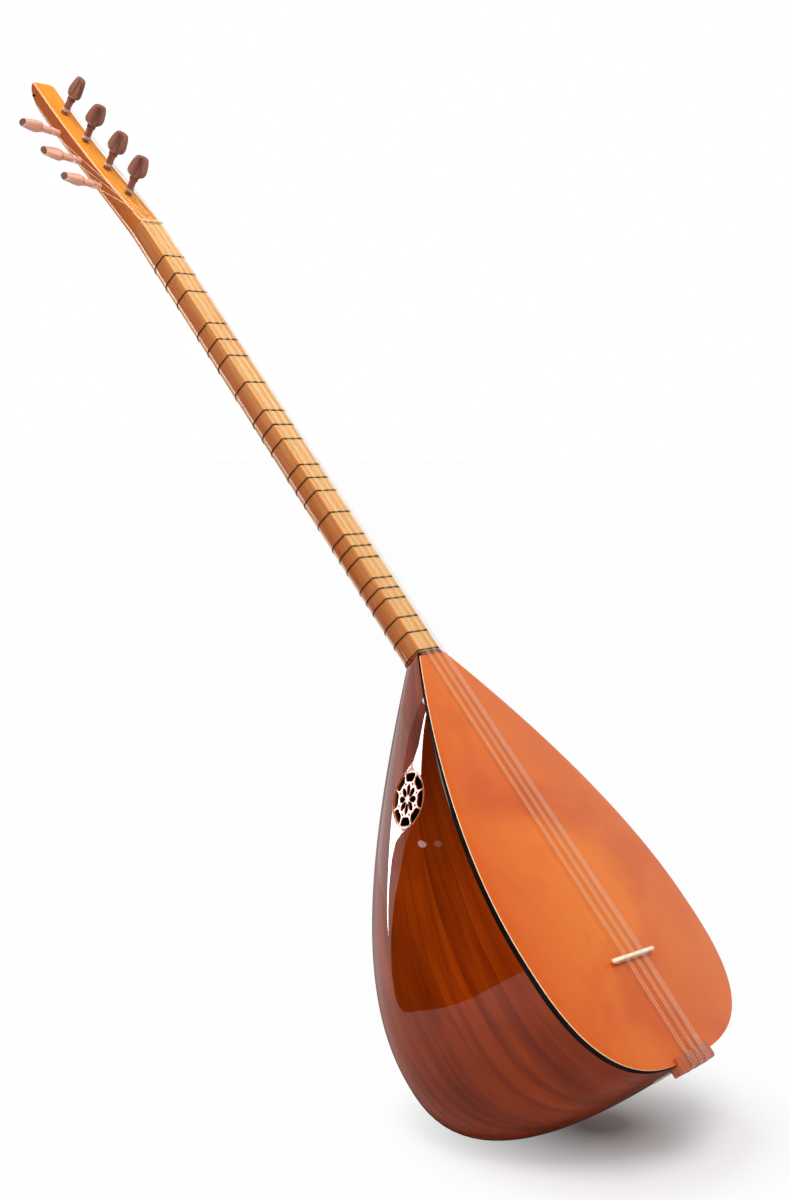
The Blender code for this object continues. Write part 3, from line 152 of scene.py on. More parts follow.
def depth(y):
    if y < DEEPEST:
        return DEPTH * tail_share(y, DEEPEST, ROUNDNESS)
    return curve_value(KEEL_CURVE, min(y, NECK_JOINT))


def level(point, sizes=None):
    """Under 0 inside the bowl and over 0 outside it."""
    wide, deep = sizes or (half_width(point.y), depth(point.y))
    return (abs(point.x) / wide) ** ROUNDNESS + (abs(point.z) / deep) ** ROUNDNESS - 1


def surface_from(point, direction, reach, sizes=None):
    """Where a straight line from inside the bowl meets its surface."""
    low, high = 0.0, reach
    for _ in range(26):
        middle = (low + high) / 2
        if level(point + direction * middle, sizes) < 0:
            low = middle
        else:
            high = middle
    return point + direction * low


def surface_normal(point):
    step = 2e-5
    axes = (Vector((step, 0, 0)), Vector((0, step, 0)), Vector((0, 0, step)))
    return Vector([level(point + axis) - level(point - axis) for axis in axes]).normalized()


def binding_height(y):
    share = min(max((NECK_JOINT - y) / BINDING_TAPER, 0.0), 1.0)
    return BINDING_NECK_HEIGHT + (BINDING_HEIGHT - BINDING_NECK_HEIGHT) * share


def outline_point(t, inset=0.0):
    """A point of the body's outline: t is -1 at the neck on the left, 0 at the tail and 1 at the neck on the right."""
    side = -1 if t < 0 else 1
    t = abs(t)
    tail_part = 0.42
    if t > tail_part:
        y = WIDEST + (t - tail_part) / (1 - tail_part) * (NECK_JOINT - WIDEST)
        low, high = max(y - 1e-4, WIDEST), min(y + 1e-4, NECK_JOINT)
        slope = (half_width(high) - half_width(low)) / (high - low)
        return Vector((side * (half_width(y) - inset * math.hypot(1, slope)), y))
    angle = t / tail_part * math.pi / 2
    power = 2 / TAIL_SQUARENESS
    reach = WIDEST + TAIL_LENGTH
    wide, along = math.sin(angle) ** power, math.cos(angle) ** power
    slope = Vector((wide ** (TAIL_SQUARENESS - 1) / HALF_WIDTH, along ** (TAIL_SQUARENESS - 1) / reach)).normalized()
    return Vector((side * (HALF_WIDTH * wide - inset * slope.x), WIDEST - reach * along + inset * slope.y))


def seam_axis(y):
    share = (y + TAIL_LENGTH) / (NECK_JOINT + TAIL_LENGTH)
    return Vector((0, y, -SEAM_TAIL_DEPTH + (SEAM_TAIL_DEPTH - SEAM_NECK_DEPTH) * share))


def seam_angles():
    """The angle of each seam round the seam axis, so that the staves are equally wide at the widest section."""
    steps = 1200
    points = []
    for k in range(steps + 1):
        turn = math.pi * k / steps
        x = -HALF_WIDTH * math.copysign(abs(math.cos(turn)) ** (2 / ROUNDNESS), math.cos(turn))
        points.append(Vector((x, -DEPTH * math.sin(turn) ** (2 / ROUNDNESS))))
    lengths = [0.0]
    for a, b in zip(points, points[1:]):
        lengths.append(lengths[-1] + (b - a).length)
    middle = seam_axis(WIDEST)
    angles = []
    place = 0
    for k in range(1, STAVES):
        while lengths[place] < lengths[-1] * k / STAVES:
            place += 1
        angle = math.atan2(middle.z - points[place].y, -points[place].x)
        angles.append(angle + math.tau if angle < -math.pi / 2 else angle)
    return angles


# Neck and headstock


def neck_size(y):
    share = (y - NECK_JOINT) / (SCALE_LENGTH - NECK_JOINT)
    half = NECK_HALF_WIDTH + (NUT_HALF_WIDTH - NECK_HALF_WIDTH) * share
    return half, NECK_SIDE, NECK_DEPTH + (NUT_DEPTH - NECK_DEPTH) * share


HEAD_CURVE = (
    (HEAD_START, 0.0),
    (HEAD_START + (SCALE_LENGTH + HEAD_BEND - HEAD_START) * 2 / 3, -HEAD_BEND_FALL * 2 / 3),
    (HEAD_END - (HEAD_END - SCALE_LENGTH - HEAD_BEND) * 2 / 3, -HEAD_SWEEP + (HEAD_SWEEP - HEAD_BEND_FALL) * 2 / 3),
    (HEAD_END, -HEAD_SWEEP),
)


def head_face(y):
    return curve_value(HEAD_CURVE, y)


def head_size(y):
    if y < HEAD_WAIST:
        share = 1 - ((HEAD_WAIST - y) / (HEAD_WAIST - HEAD_START)) ** 2
        side = NECK_SIDE + (HEAD_WAIST_SIDE - NECK_SIDE) * share
        return NUT_HALF_WIDTH, side, NUT_DEPTH + (HEAD_WAIST_DEPTH - NUT_DEPTH) * share
    share = (y - HEAD_WAIST) / (HEAD_END - HEAD_WAIST)
    side = HEAD_WAIST_SIDE + (HEAD_TIP_SIDE - HEAD_WAIST_SIDE) * share
    full = HEAD_WAIST_DEPTH + (HEAD_TIP_DEPTH - HEAD_WAIST_DEPTH) * share
    nose = min(max(1 - (HEAD_END - y) / NOSE_LENGTH, 0.0), 1.0)
    edge = NOSE_EDGE / HEAD_TIP_DEPTH
    kept = edge + (1 - edge) * math.sqrt(1 - nose**2)
    return NUT_HALF_WIDTH, side * kept, full * kept


def d_section(half, side, full, arris=ARRIS):
    """Points of a flat-topped section with chamfered edges, flat sides and a half-oval back, from its top's middle."""
    right = [(half - arris, 0.0)] + [(half, -arris + (arris - side) * k / 3) for k in range(3)]
    for k in range(16):
        turn = math.pi / 2 * k / 16
        right.append((half * math.cos(turn), -side - (full - side) * math.sin(turn)))
    middle = [(0.0, -full)]
    left = [(-x, z) for x, z in reversed(right)]
    return [(0.0, 0.0)] + right + middle + left


def peg_frame(name):
    """The seat of a peg and its direction, in the saz's own frame."""
    joint = JOINTS[f"{name}_turn"]
    axis = (TO_SAZ.to_3x3() @ Vector(joint["axis"])).normalized()
    return TO_SAZ @ Vector(joint["pos_m"]), axis


# Making meshes


def sheet(columns, rows, place, ends=True):
    """A grid of cells whose points are set by place(u, v), with its meeting edges joined and its ends closed."""
    bm = bmesh.new()
    bm.loops.layers.uv.new("grain")
    bmesh.ops.create_grid(bm, x_segments=columns, y_segments=rows, size=0.5, calc_uvs=True)
    for vert in bm.verts:
        vert.co = place(min(max(vert.co.x + 0.5, 0.0), 1.0), min(max(vert.co.y + 0.5, 0.0), 1.0))
    bmesh.ops.remove_doubles(bm, verts=bm.verts, dist=1e-6)
    if ends:
        bmesh.ops.holes_fill(bm, edges=[e for e in bm.edges if e.is_boundary], sides=0)
    bmesh.ops.recalc_face_normals(bm, faces=bm.faces)
    return bm


def loft(sections):
    """A closed solid through sections of equally many points."""
    count, last = len(sections[0]), len(sections) - 1

    def place(u, v):
        return Vector(sections[round(v * last)][round(u * count) % count])

    return sheet(count, last, place)


def flat_face(bm, outline):
    """One face inside an outline of points, which may have hollow corners."""
    verts = [bm.verts.new(point) for point in outline]
    bmesh.ops.contextual_create(bm, geom=[bm.edges.new((verts[k - 1], verts[k])) for k in range(len(verts))])


def slab(outline, push):
    """A flat outline of points in space, made a solid by pushing it along."""
    bm = bmesh.new()
    bm.loops.layers.uv.new("grain")
    flat_face(bm, outline)
    made = bmesh.ops.extrude_face_region(bm, geom=list(bm.faces), use_keep_orig=True)["geom"]
    moved = [g for g in made if isinstance(g, bmesh.types.BMVert)]
    bmesh.ops.translate(bm, verts=moved, vec=Vector(push))
    bmesh.ops.recalc_face_normals(bm, faces=bm.faces)
    return bm


def soften(bm, width, segments=2, angle=35):
    """Rounds every edge that is sharper than the angle."""
    edges = [e for e in bm.edges if len(e.link_faces) == 2 and e.calc_face_angle(0) > math.radians(angle)]
    bmesh.ops.bevel(
        bm, geom=edges, offset=width, offset_type="OFFSET", segments=segments, profile=0.5, material=-1,
        affect="EDGES", clamp_overlap=True,
    )


def bar(start, end, start_radius, end_radius, sides=32):
    """A tapered round bar between two points."""
    start, end = Vector(start), Vector(end)
    bm = bmesh.new()
    bm.loops.layers.uv.new("grain")
    turn = (end - start).to_track_quat("Z", "Y").to_matrix().to_4x4()
    bmesh.ops.create_cone(
        bm, cap_ends=True, segments=sides, radius1=start_radius, radius2=end_radius, depth=(end - start).length,
        matrix=Matrix.Translation((start + end) / 2) @ turn,
    )
    return bm


def tube(points, radius, sides=8):
    """A round line through the points, without a twist."""
    points = [Vector(p) for p in points]
    count = len(points) - 1
    ways = [(points[min(k + 1, count)] - points[max(k - 1, 0)]).normalized() for k in range(count + 1)]
    across = ways[0].orthogonal().normalized()
    rings = []
    for point, way in zip(points, ways):
        across = (across - way * across.dot(way)).normalized()
        other = way.cross(across)
        turns = [math.tau * k / sides for k in range(sides)]
        rings.append([point + (across * math.cos(a) + other * math.sin(a)) * radius for a in turns])
    return loft(rings)


def smooth_line(points, steps):
    """Points of a smooth line through the given ones."""
    line = []
    for k in range(len(points) - 1):
        a, b = points[max(k - 1, 0)], points[k]
        c, d = points[k + 1], points[min(k + 2, len(points) - 1)]
        for step in range(steps):
            t = step / steps
            line.append(0.5 * (2 * b + (c - a) * t + (2 * a - 5 * b + 4 * c - d) * t**2
                               + (3 * b - a - 3 * c + d) * t**3))
    return line + [points[-1]]


def join(bm, other):
    """Adds another piece's mesh to this one."""
    mesh = bpy.data.meshes.new("part")
    other.to_mesh(mesh)
    bm.from_mesh(mesh)
    bpy.data.meshes.remove(mesh)
    other.free()


def piece(name, bm, material, body, nodes=(), sharp=32, cutters=()):
    """An object made of the mesh in its place in the frame, with the cutters taken away from it."""
    made = object_from(name, bm)
    for cutter in cutters:
        tool = object_from("cutter", cutter)
        boolean = made.modifiers.new("cut", "BOOLEAN")
        boolean.solver = "EXACT"
        boolean.object = tool
        graph = bpy.context.evaluated_depsgraph_get()
        cut = bpy.data.meshes.new_from_object(made.evaluated_get(graph))
        made.modifiers.clear()
        old = made.data
        made.data = cut
        bpy.data.meshes.remove(old)
        bpy.data.objects.remove(tool, do_unlink=True)
    made.data.name = name
    made.data.transform(SAZ)
    made.data.materials.clear()
    made.data.materials.append(material)
    made.data.shade_smooth()
    made.data.set_sharp_from_angle(angle=math.radians(sharp))
    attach(made, body)
    if nodes:
        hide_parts(*nodes)
    return made


def object_from(name, bm):
    mesh = bpy.data.meshes.new(name)
    bm.to_mesh(mesh)
    bm.free()
    made = bpy.data.objects.new(name, mesh)
    bpy.context.scene.collection.objects.link(made)
    return made


def dress(nodes, material):
    """Gives frame nodes their finish."""
    for node in nodes:
        mesh = frame["nodes"][node].data
        mesh.materials.clear()
        mesh.materials.append(material)


# Node trees


class Tree:
    """Adds nodes to a tree. A socket given as an input's value is linked, and any other value is set."""

    def __init__(self, tree):
        self.tree = tree

    def add(self, kind, inputs=None, **settings):
        made = self.tree.nodes.new(kind)
        for name, value in settings.items():
            setattr(made, name, value)
        for name, value in (inputs or {}).items():
            socket = made.inputs[name]
            if isinstance(value, bpy.types.NodeSocket):
                self.tree.links.new(value, socket)
            else:
                socket.default_value = value
        return made

    def math(self, operation, a, b=0.0, clamp=False):
        return self.add("ShaderNodeMath", {0: a, 1: b}, operation=operation, use_clamp=clamp).outputs[0]

    def span(self, value, low, high, new_low=0.0, new_high=1.0):
        names = ("Value", "From Min", "From Max", "To Min", "To Max")
        inputs = dict(zip(names, (value, low, high, new_low, new_high)))
        return self.add("ShaderNodeMapRange", inputs, clamp=True).outputs[0]

    def noise(self, vector, scale, detail=3.0, roughness=0.5, distortion=0.0):
        inputs = {"Vector": vector, "Scale": scale, "Detail": detail, "Roughness": roughness,
                  "Distortion": distortion}
        return self.add("ShaderNodeTexNoise", inputs).outputs[0]

    def stretch(self, vector, scale, shift=(0, 0, 0)):
        inputs = {"Vector": vector, "Scale": scale, "Location": shift}
        return self.add("ShaderNodeMapping", inputs).outputs[0]

    def blend(self, share, first, second, kind="MIX"):
        made = self.add("ShaderNodeMix", data_type="RGBA", blend_type=kind)
        for socket, value in ((made.inputs[0], share), (made.inputs[6], first), (made.inputs[7], second)):
            if isinstance(value, bpy.types.NodeSocket):
                self.tree.links.new(value, socket)
            elif socket.type == "RGBA" and len(value) == 3:
                socket.default_value = (*value, 1)
            else:
                socket.default_value = value
        return made.outputs[2]

    def group(self, tree, inputs):
        made = self.add("ShaderNodeGroup", node_tree=tree)
        for name, value in inputs.items():
            if isinstance(value, bpy.types.NodeSocket):
                self.tree.links.new(value, made.inputs[name])
            else:
                made.inputs[name].default_value = value
        return made.outputs


def new_group(name, inputs, outputs):
    """An empty shader node group with the named sockets, or None and the group where it is there already."""
    if name in bpy.data.node_groups:
        return None, bpy.data.node_groups[name]
    tree = bpy.data.node_groups.new(name, "ShaderNodeTree")
    for socket, kind, value in inputs:
        made = tree.interface.new_socket(socket, in_out="INPUT", socket_type=kind)
        if value is not None:
            made.default_value = value
    for socket, kind in outputs:
        tree.interface.new_socket(socket, in_out="OUTPUT", socket_type=kind)
    return Tree(tree), tree


def wood_grain():
    """The group for long streaks, fine fibres and open pores, which all run along the vector's Y."""
    graph, tree = new_group(
        "Wood grain",
        [("Vector", "NodeSocketVector", None), ("Across", "NodeSocketFloat", 90.0),
         ("Along", "NodeSocketFloat", 4.0)],
        [("Streaks", "NodeSocketFloat"), ("Fibres", "NodeSocketFloat"), ("Pores", "NodeSocketFloat"),
         ("Height", "NodeSocketFloat")],
    )
    if graph is None:
        return tree
    given = graph.add("NodeGroupInput").outputs
    across, along = given["Across"], given["Along"]
    size = graph.add("ShaderNodeCombineXYZ", {"X": across, "Y": along, "Z": across}).outputs[0]
    vector = graph.add("ShaderNodeVectorMath", {0: given["Vector"], 1: size}, operation="MULTIPLY").outputs[0]
    streaks = graph.noise(vector, 1.0, 3.0, 0.55, 0.6)
    fibres = graph.noise(vector, 5.5, 3.0, 0.6, 0.2)
    fine = graph.stretch(vector, (9.0, 26.0, 9.0))
    pores = graph.span(graph.noise(fine, 1.0, 2.0, 0.5), 0.62, 0.70)
    height = graph.math("SUBTRACT", fibres, graph.math("MULTIPLY", pores, 0.8))
    result = graph.add("NodeGroupOutput")
    for name, value in (("Streaks", streaks), ("Fibres", fibres), ("Pores", pores), ("Height", height)):
        graph.tree.links.new(value, result.inputs[name])
    return tree


def handling():
    """The group for the faint cloudiness and small marks that cleaning and playing leave in a finish."""
    graph, tree = new_group(
        "Handling marks",
        [("Vector", "NodeSocketVector", None), ("Roughness", "NodeSocketFloat", 0.3),
         ("Amount", "NodeSocketFloat", 0.1)],
        [("Roughness", "NodeSocketFloat"), ("Mask", "NodeSocketFloat")],
    )
    if graph is None:
        return tree
    given = graph.add("NodeGroupInput").outputs
    cloud = graph.noise(given["Vector"], 14.0, 4.0, 0.6)
    fine = graph.noise(given["Vector"], 160.0, 3.0, 0.6)
    mask = graph.math("ADD", graph.math("MULTIPLY", cloud, 0.7), graph.math("MULTIPLY", fine, 0.3))
    offset = graph.math("MULTIPLY", graph.math("SUBTRACT", mask, 0.5), given["Amount"])
    rough = graph.math("ADD", given["Roughness"], offset, clamp=True)
    result = graph.add("NodeGroupOutput")
    graph.tree.links.new(rough, result.inputs["Roughness"])
    graph.tree.links.new(mask, result.inputs["Mask"])
    return tree


def new_material(name, **constants):
    """A material's tree, its shader and the place of a point in the saz's own directions."""
    material = bpy.data.materials.new(name)
    material.use_nodes = True
    graph = Tree(material.node_tree)
    shader = material.node_tree.nodes["Principled BSDF"]
    for socket, value in constants.items():
        shader.inputs[socket.replace("_", " ")].default_value = value
    place = graph.add("ShaderNodeTexCoord").outputs["Object"]
    turn = TO_SAZ.to_euler()
    mapping = graph.add("ShaderNodeMapping", {"Vector": place, "Rotation": turn, "Location": TO_SAZ.translation})
    return material, graph, shader, mapping.outputs[0]


def bump(graph, shader, height, distance, strength=1.0):
    made = graph.add("ShaderNodeBump", {"Height": height, "Strength": strength, "Distance": distance})
    graph.tree.links.new(made.outputs[0], shader.inputs["Normal"])


def finish(graph, shader, colour, rough):
    graph.tree.links.new(colour, shader.inputs["Base Color"])
    graph.tree.links.new(rough, shader.inputs["Roughness"])


def bowl_lacquer(colours):
    """Clear lacquer over red-brown staves, each a little different, with dark lines between them, and painted shade
    beside the black band towards the neck.
    """
    material, graph, shader, place = new_material(
        "bowl_lacquer", Coat_Weight=1.0, Coat_Roughness=0.015, Coat_IOR=1.42, Specular_IOR_Level=0.0
    )
    uv = graph.add("ShaderNodeUVMap", uv_map="grain").outputs[0]
    split = graph.add("ShaderNodeSeparateXYZ", {0: uv}).outputs
    across = graph.math("MULTIPLY", split[0], float(STAVES))
    stave = graph.math("FLOOR", across)
    share = graph.math("FRACT", across)
    chance = graph.add("ShaderNodeTexWhiteNoise", {"W": stave}, noise_dimensions="1D").outputs[0]
    shifted = graph.add("ShaderNodeCombineXYZ", {
        "X": graph.math("MULTIPLY", across, 0.045), "Y": split[1], "Z": graph.math("MULTIPLY", stave, 3.7),
    }).outputs[0]
    grain = graph.group(wood_grain(), {"Vector": shifted, "Across": 55.0, "Along": 3.4})
    streak = graph.span(grain["Streaks"], 0.24, 0.70)
    base = graph.blend(streak, colours.bowl_dark, colours.bowl_light)
    broad = graph.span(graph.noise(place, 9.0, 2.0, 0.5, 0.4), 0.34, 0.66, 0.74, 1.12)
    tone = graph.math("MULTIPLY", graph.span(chance, 0.0, 1.0, 0.90, 1.12), broad)
    toned = graph.blend(1.0, base, graph.add("ShaderNodeCombineColor", {0: tone, 1: tone, 2: tone}).outputs[0],
                        "MULTIPLY")
    pored = graph.blend(graph.math("MULTIPLY", grain["Pores"], 0.08), toned, (0.060, 0.006, 0.001))
    at = graph.add("ShaderNodeSeparateXYZ", {0: place}).outputs
    # Painted shade: darker beside the black band towards the neck, fading out near the joint.
    darker_edge_and_painted_shade = graph.math("MULTIPLY", graph.span(at[1], 0.13, 0.24, 0.0, 0.8), graph.span(at[2], -0.055, -0.015))
    darker_edge_and_painted_shade = graph.math("MULTIPLY", darker_edge_and_painted_shade, graph.span(at[1], 0.30, 0.26))
    pored = graph.blend(darker_edge_and_painted_shade, pored, (0.060, 0.006, 0.001))
    middle = graph.math("ABSOLUTE", graph.math("SUBTRACT", share, 0.5))
    seam = graph.span(middle, 0.478, 0.493)
    colour = graph.blend(graph.math("MULTIPLY", seam, 0.4), pored, (0.022, 0.003, 0.001))
    marks = graph.group(handling(), {"Vector": place, "Roughness": 0.28, "Amount": 0.12})
    finish(graph, shader, colour, marks["Roughness"])
    waves = graph.noise(place, 38.0, 2.0, 0.4)
    bump(graph, shader, graph.math("SUBTRACT", waves, graph.math("MULTIPLY", seam, 0.1)), 0.00006)
    return material


def board_stain(colours):
    """Satin orange-brown stain over straight-grained spruce, cloudy where the wood took it unevenly, with a painted
    highlight on its rounded rim.
    """
    material, graph, shader, place = new_material(
        "board_stain", Coat_Weight=0.75, Coat_Roughness=0.04, Coat_IOR=1.45, Specular_IOR_Level=0.05
    )
    grain = graph.group(wood_grain(), {"Vector": place, "Across": 120.0, "Along": 2.2})
    lines = graph.add("ShaderNodeTexWave", {"Vector": graph.stretch(place, (1, 0.015, 1)), "Scale": 135.0,
                                            "Distortion": 1.6, "Detail": 2.0, "Detail Scale": 0.6},
                      bands_direction="X").outputs["Fac"]
    cloud = graph.noise(graph.stretch(place, (1.0, 0.8, 1.0), (0.7, 0.2, 0)), 10.0, 3.0, 0.55, 0.5)
    broad = graph.noise(graph.stretch(place, (1, 1, 1), (3.1, 0.7, 0)), 4.5, 2.0, 0.5)
    split = graph.add("ShaderNodeSeparateXYZ", {0: place}).outputs
    side = graph.span(split[0], -0.11, 0.12)
    warm = graph.blend(graph.span(cloud, 0.34, 0.60), colours.board_dark, colours.board_light)
    shaded = graph.blend(graph.math("MULTIPLY", side, graph.span(broad, 0.30, 0.62, 0.25, 0.85)), warm,
                         colours.board_red)
    fine = graph.blend(graph.math("MULTIPLY", graph.span(lines, 0.55, 1.0), 0.10), shaded, (0.30, 0.075, 0.018))
    colour = graph.blend(graph.math("MULTIPLY", graph.span(grain["Fibres"], 0.5, 0.75), 0.12), fine,
                         (0.36, 0.10, 0.03))
    # Darker towards the left edge.
    darker_edge_and_painted_shade = graph.span(split[0], -0.13, 0.0, 0.9, 0.0)
    colour = graph.blend(darker_edge_and_painted_shade, colour, colours.board_dark)
    # Painted highlight: where the surface turns away from the top, on the rounded rim and the edges, it is coloured
    # pale.
    facing = graph.add("ShaderNodeTexCoord").outputs["Normal"]
    upward = graph.add("ShaderNodeVectorMath", {0: facing, 1: OUT}, operation="DOT_PRODUCT").outputs["Value"]
    colour = graph.blend(graph.span(upward, 0.95, 0.7), colour, (0.98, 0.66, 0.40))
    marks = graph.group(handling(), {"Vector": place, "Roughness": 0.42, "Amount": 0.12})
    finish(graph, shader, colour, marks["Roughness"])
    bump(graph, shader, graph.math("ADD", grain["Height"], graph.math("MULTIPLY", lines, 0.6)), 0.00002)
    return material


def neck_varnish(name, colours, light, dark, along=5.0, coat=0.6):
    """Glossy varnish over streaked wood, with painted shade that makes the sides darker and redder, most low down."""
    material, graph, shader, place = new_material(
        name, Coat_Weight=coat, Coat_Roughness=0.05, Coat_IOR=1.45, Specular_IOR_Level=0.05
    )
    grain = graph.group(wood_grain(), {"Vector": place, "Across": 260.0, "Along": along})
    streak = graph.span(grain["Streaks"], 0.34, 0.66)
    base = graph.blend(streak, dark, light)
    split = graph.add("ShaderNodeSeparateXYZ", {0: place}).outputs
    # Painted shade: the sides are coloured darker and redder than the lit top, most of all low down.
    low = graph.span(split[2], -0.003, -0.016)
    side = graph.math("GREATER_THAN", graph.math("ABSOLUTE", split[0]), 0.0136)
    painted_side_shade = graph.math("MULTIPLY", side, graph.math("ADD", 0.70, graph.math("MULTIPLY", low, 0.30)))
    side_shaded = graph.blend(painted_side_shade, base, colours.neck_side_shade)
    flecked = graph.blend(graph.math("MULTIPLY", grain["Pores"], 0.42), side_shaded, (0.26, 0.085, 0.022))
    colour = graph.blend(graph.math("MULTIPLY", graph.span(grain["Fibres"], 0.45, 0.7), 0.25), flecked, dark)
    marks = graph.group(handling(), {"Vector": place, "Roughness": 0.32, "Amount": 0.12})
    finish(graph, shader, colour, marks["Roughness"])
    bump(graph, shader, grain["Height"], 0.00003)
    return material


def plain_wood(name, light, dark, rough, coat=0.0, across=260.0, along=12.0, use_uv=False, end_colour=None):
    """Wood with its grain along the piece, from bare to well rubbed."""
    material, graph, shader, place = new_material(
        name, Coat_Weight=coat, Coat_Roughness=0.12, Specular_IOR_Level=0.4
    )
    vector = place
    if use_uv:
        uv = graph.add("ShaderNodeUVMap", uv_map="grain").outputs[0]
        split = graph.add("ShaderNodeSeparateXYZ", {0: uv}).outputs
        vector = graph.add("ShaderNodeCombineXYZ", {
            "X": graph.math("MULTIPLY", split[0], 0.06), "Y": graph.math("MULTIPLY", split[1], 0.06), "Z": 0.0,
        }).outputs[0]
    grain = graph.group(wood_grain(), {"Vector": vector, "Across": across, "Along": along})
    base = graph.blend(graph.span(grain["Streaks"], 0.35, 0.65), dark, light)
    colour = graph.blend(graph.math("MULTIPLY", grain["Pores"], 0.5), base, tuple(c * 0.45 for c in dark))
    if end_colour:
        ring = graph.span(split[1], 0.955, 0.965)
        colour = graph.blend(graph.math("MULTIPLY", ring, 0.9), colour, end_colour)
    marks = graph.group(handling(), {"Vector": place, "Roughness": rough, "Amount": 0.15})
    finish(graph, shader, colour, marks["Roughness"])
    bump(graph, shader, grain["Height"], 0.00005)
    return material


def edge_black():
    """Gloss black band, with the faintest brown where light gets into it."""
    material, graph, shader, place = new_material(
        "edge_black", Coat_Weight=0.08, Coat_Roughness=0.15, Specular_IOR_Level=0.0
    )
    cloud = graph.noise(place, 60.0, 4.0, 0.6)
    colour = graph.blend(graph.span(cloud, 0.4, 0.7), (0.006, 0.005, 0.005), (0.016, 0.011, 0.009))
    marks = graph.group(handling(), {"Vector": place, "Roughness": 0.4, "Amount": 0.15})
    finish(graph, shader, colour, marks["Roughness"])
    bump(graph, shader, cloud, 0.00002)
    return material


def bone(name, light, dark):
    """Polished bone: pale, with faint darker lines along it and few pores."""
    material, graph, shader, place = new_material(
        name, Coat_Weight=0.3, Coat_Roughness=0.15, Subsurface_Weight=0.08, Subsurface_Scale=0.001
    )
    lines = graph.noise(graph.stretch(place, (90, 900, 500)), 1.0, 3.0, 0.55, 0.3)
    specks = graph.span(graph.noise(graph.stretch(place, (900, 3000, 3000)), 1.0, 1.0), 0.64, 0.72)
    base = graph.blend(graph.span(lines, 0.38, 0.66), light, dark)
    colour = graph.blend(graph.math("MULTIPLY", specks, 0.35), base, (0.36, 0.23, 0.11))
    marks = graph.group(handling(), {"Vector": place, "Roughness": 0.36, "Amount": 0.15})
    finish(graph, shader, colour, marks["Roughness"])
    bump(graph, shader, lines, 0.00003)
    return material


def metal(name, light, dark, rough, pitch=0.0):
    """Drawn wire, or wire wound round a core where a pitch is given."""
    material, graph, shader, place = new_material(name, Metallic=0.45)
    cloud = graph.noise(place, 240.0, 3.0, 0.6)
    colour = graph.blend(graph.span(cloud, 0.35, 0.7), dark, light)
    marks = graph.group(handling(), {"Vector": place, "Roughness": rough, "Amount": 0.2})
    finish(graph, shader, colour, marks["Roughness"])
    if pitch:
        uv = graph.add("ShaderNodeUVMap", uv_map="grain").outputs[0]
        wound = graph.add("ShaderNodeTexWave", {"Vector": uv, "Scale": pitch, "Distortion": 0.0},
                          bands_direction="Y").outputs["Fac"]
        bump(graph, shader, wound, 0.0001)
    else:
        bump(graph, shader, cloud, 0.000005)
    return material


def fret_line():
    """Dark monofilament, a little worn where fingers press it."""
    material, graph, shader, place = new_material(
        "fret_line", Coat_Weight=0.15, Coat_Roughness=0.2, Specular_IOR_Level=0.0
    )
    cloud = graph.noise(place, 300.0, 3.0, 0.6)
    colour = graph.blend(graph.span(cloud, 0.35, 0.7), (0.016, 0.006, 0.004), (0.036, 0.014, 0.009))
    marks = graph.group(handling(), {"Vector": place, "Roughness": 0.34, "Amount": 0.2})
    finish(graph, shader, colour, marks["Roughness"])
    bump(graph, shader, cloud, 0.00001)
    return material


# Sizes and colours that a user would change


def colour_property(name, description, value):
    return FloatVectorProperty(name=name, description=description, default=value, subtype="COLOR", min=0, max=1)


class SazColours(bpy.types.PropertyGroup):
    bowl_light: colour_property("Bowl, light", "Lighter streaks of the bowl's staves", (0.280, 0.036, 0.0015))
    bowl_dark: colour_property("Bowl, dark", "Darker streaks of the bowl's staves", (0.155, 0.014, 0.001))
    board_light: colour_property("Board, light", "Where the stain is thinnest", (0.830, 0.205, 0.018))
    board_dark: colour_property("Board, dark", "Where the stain is thickest", (0.620, 0.100, 0.012))
    board_red: colour_property("Board, red", "The redder tone of the right side", (0.660, 0.135, 0.030))
    neck_light: colour_property("Neck, light", "Lighter streaks of the neck", (0.930, 0.560, 0.235))
    neck_dark: colour_property("Neck, dark", "Darker streaks of the neck", (0.720, 0.335, 0.085))
    # Painted shade for the sides of the neck, the headstock and the side rosette.
    neck_side_shade: colour_property("Neck, sides", "Tone of the sides, low down", (0.345, 0.072, 0.015))
    head_light: colour_property("Headstock, light", "Lighter streaks of the headstock", (0.900, 0.335, 0.020))
    head_dark: colour_property("Headstock, dark", "Darker streaks of the headstock", (0.740, 0.235, 0.016))
    peg_light: colour_property("Pegs, light", "Lighter streaks of the pegs", (0.350, 0.130, 0.082))
    peg_dark: colour_property("Pegs, dark", "Darker streaks of the pegs", (0.135, 0.043, 0.028))


class SazSizes(bpy.types.PropertyGroup):
    fret_turns: IntProperty(name="Fret turns", description="Turns of line in each tied fret", default=2, min=1, max=4)
    fret_radius: FloatProperty(name="Fret line", description="Radius of the fret line", default=0.00025,
                               min=0.0001, max=0.0005, precision=5, subtype="DISTANCE")
    string_turns: IntProperty(name="String turns", description="Turns of a string on its peg", default=5,
                              min=2, max=9)
    edge_round: FloatProperty(name="Edge rounding", description="Rounding of the small pieces' edges",
                              default=0.00025, min=0.0, max=0.001, precision=5, subtype="DISTANCE")
    floor_radius: FloatProperty(name="Floor radius", description="How far the pale floor reaches", default=30.0,
                                min=5.0, max=60.0, subtype="DISTANCE")


# Body


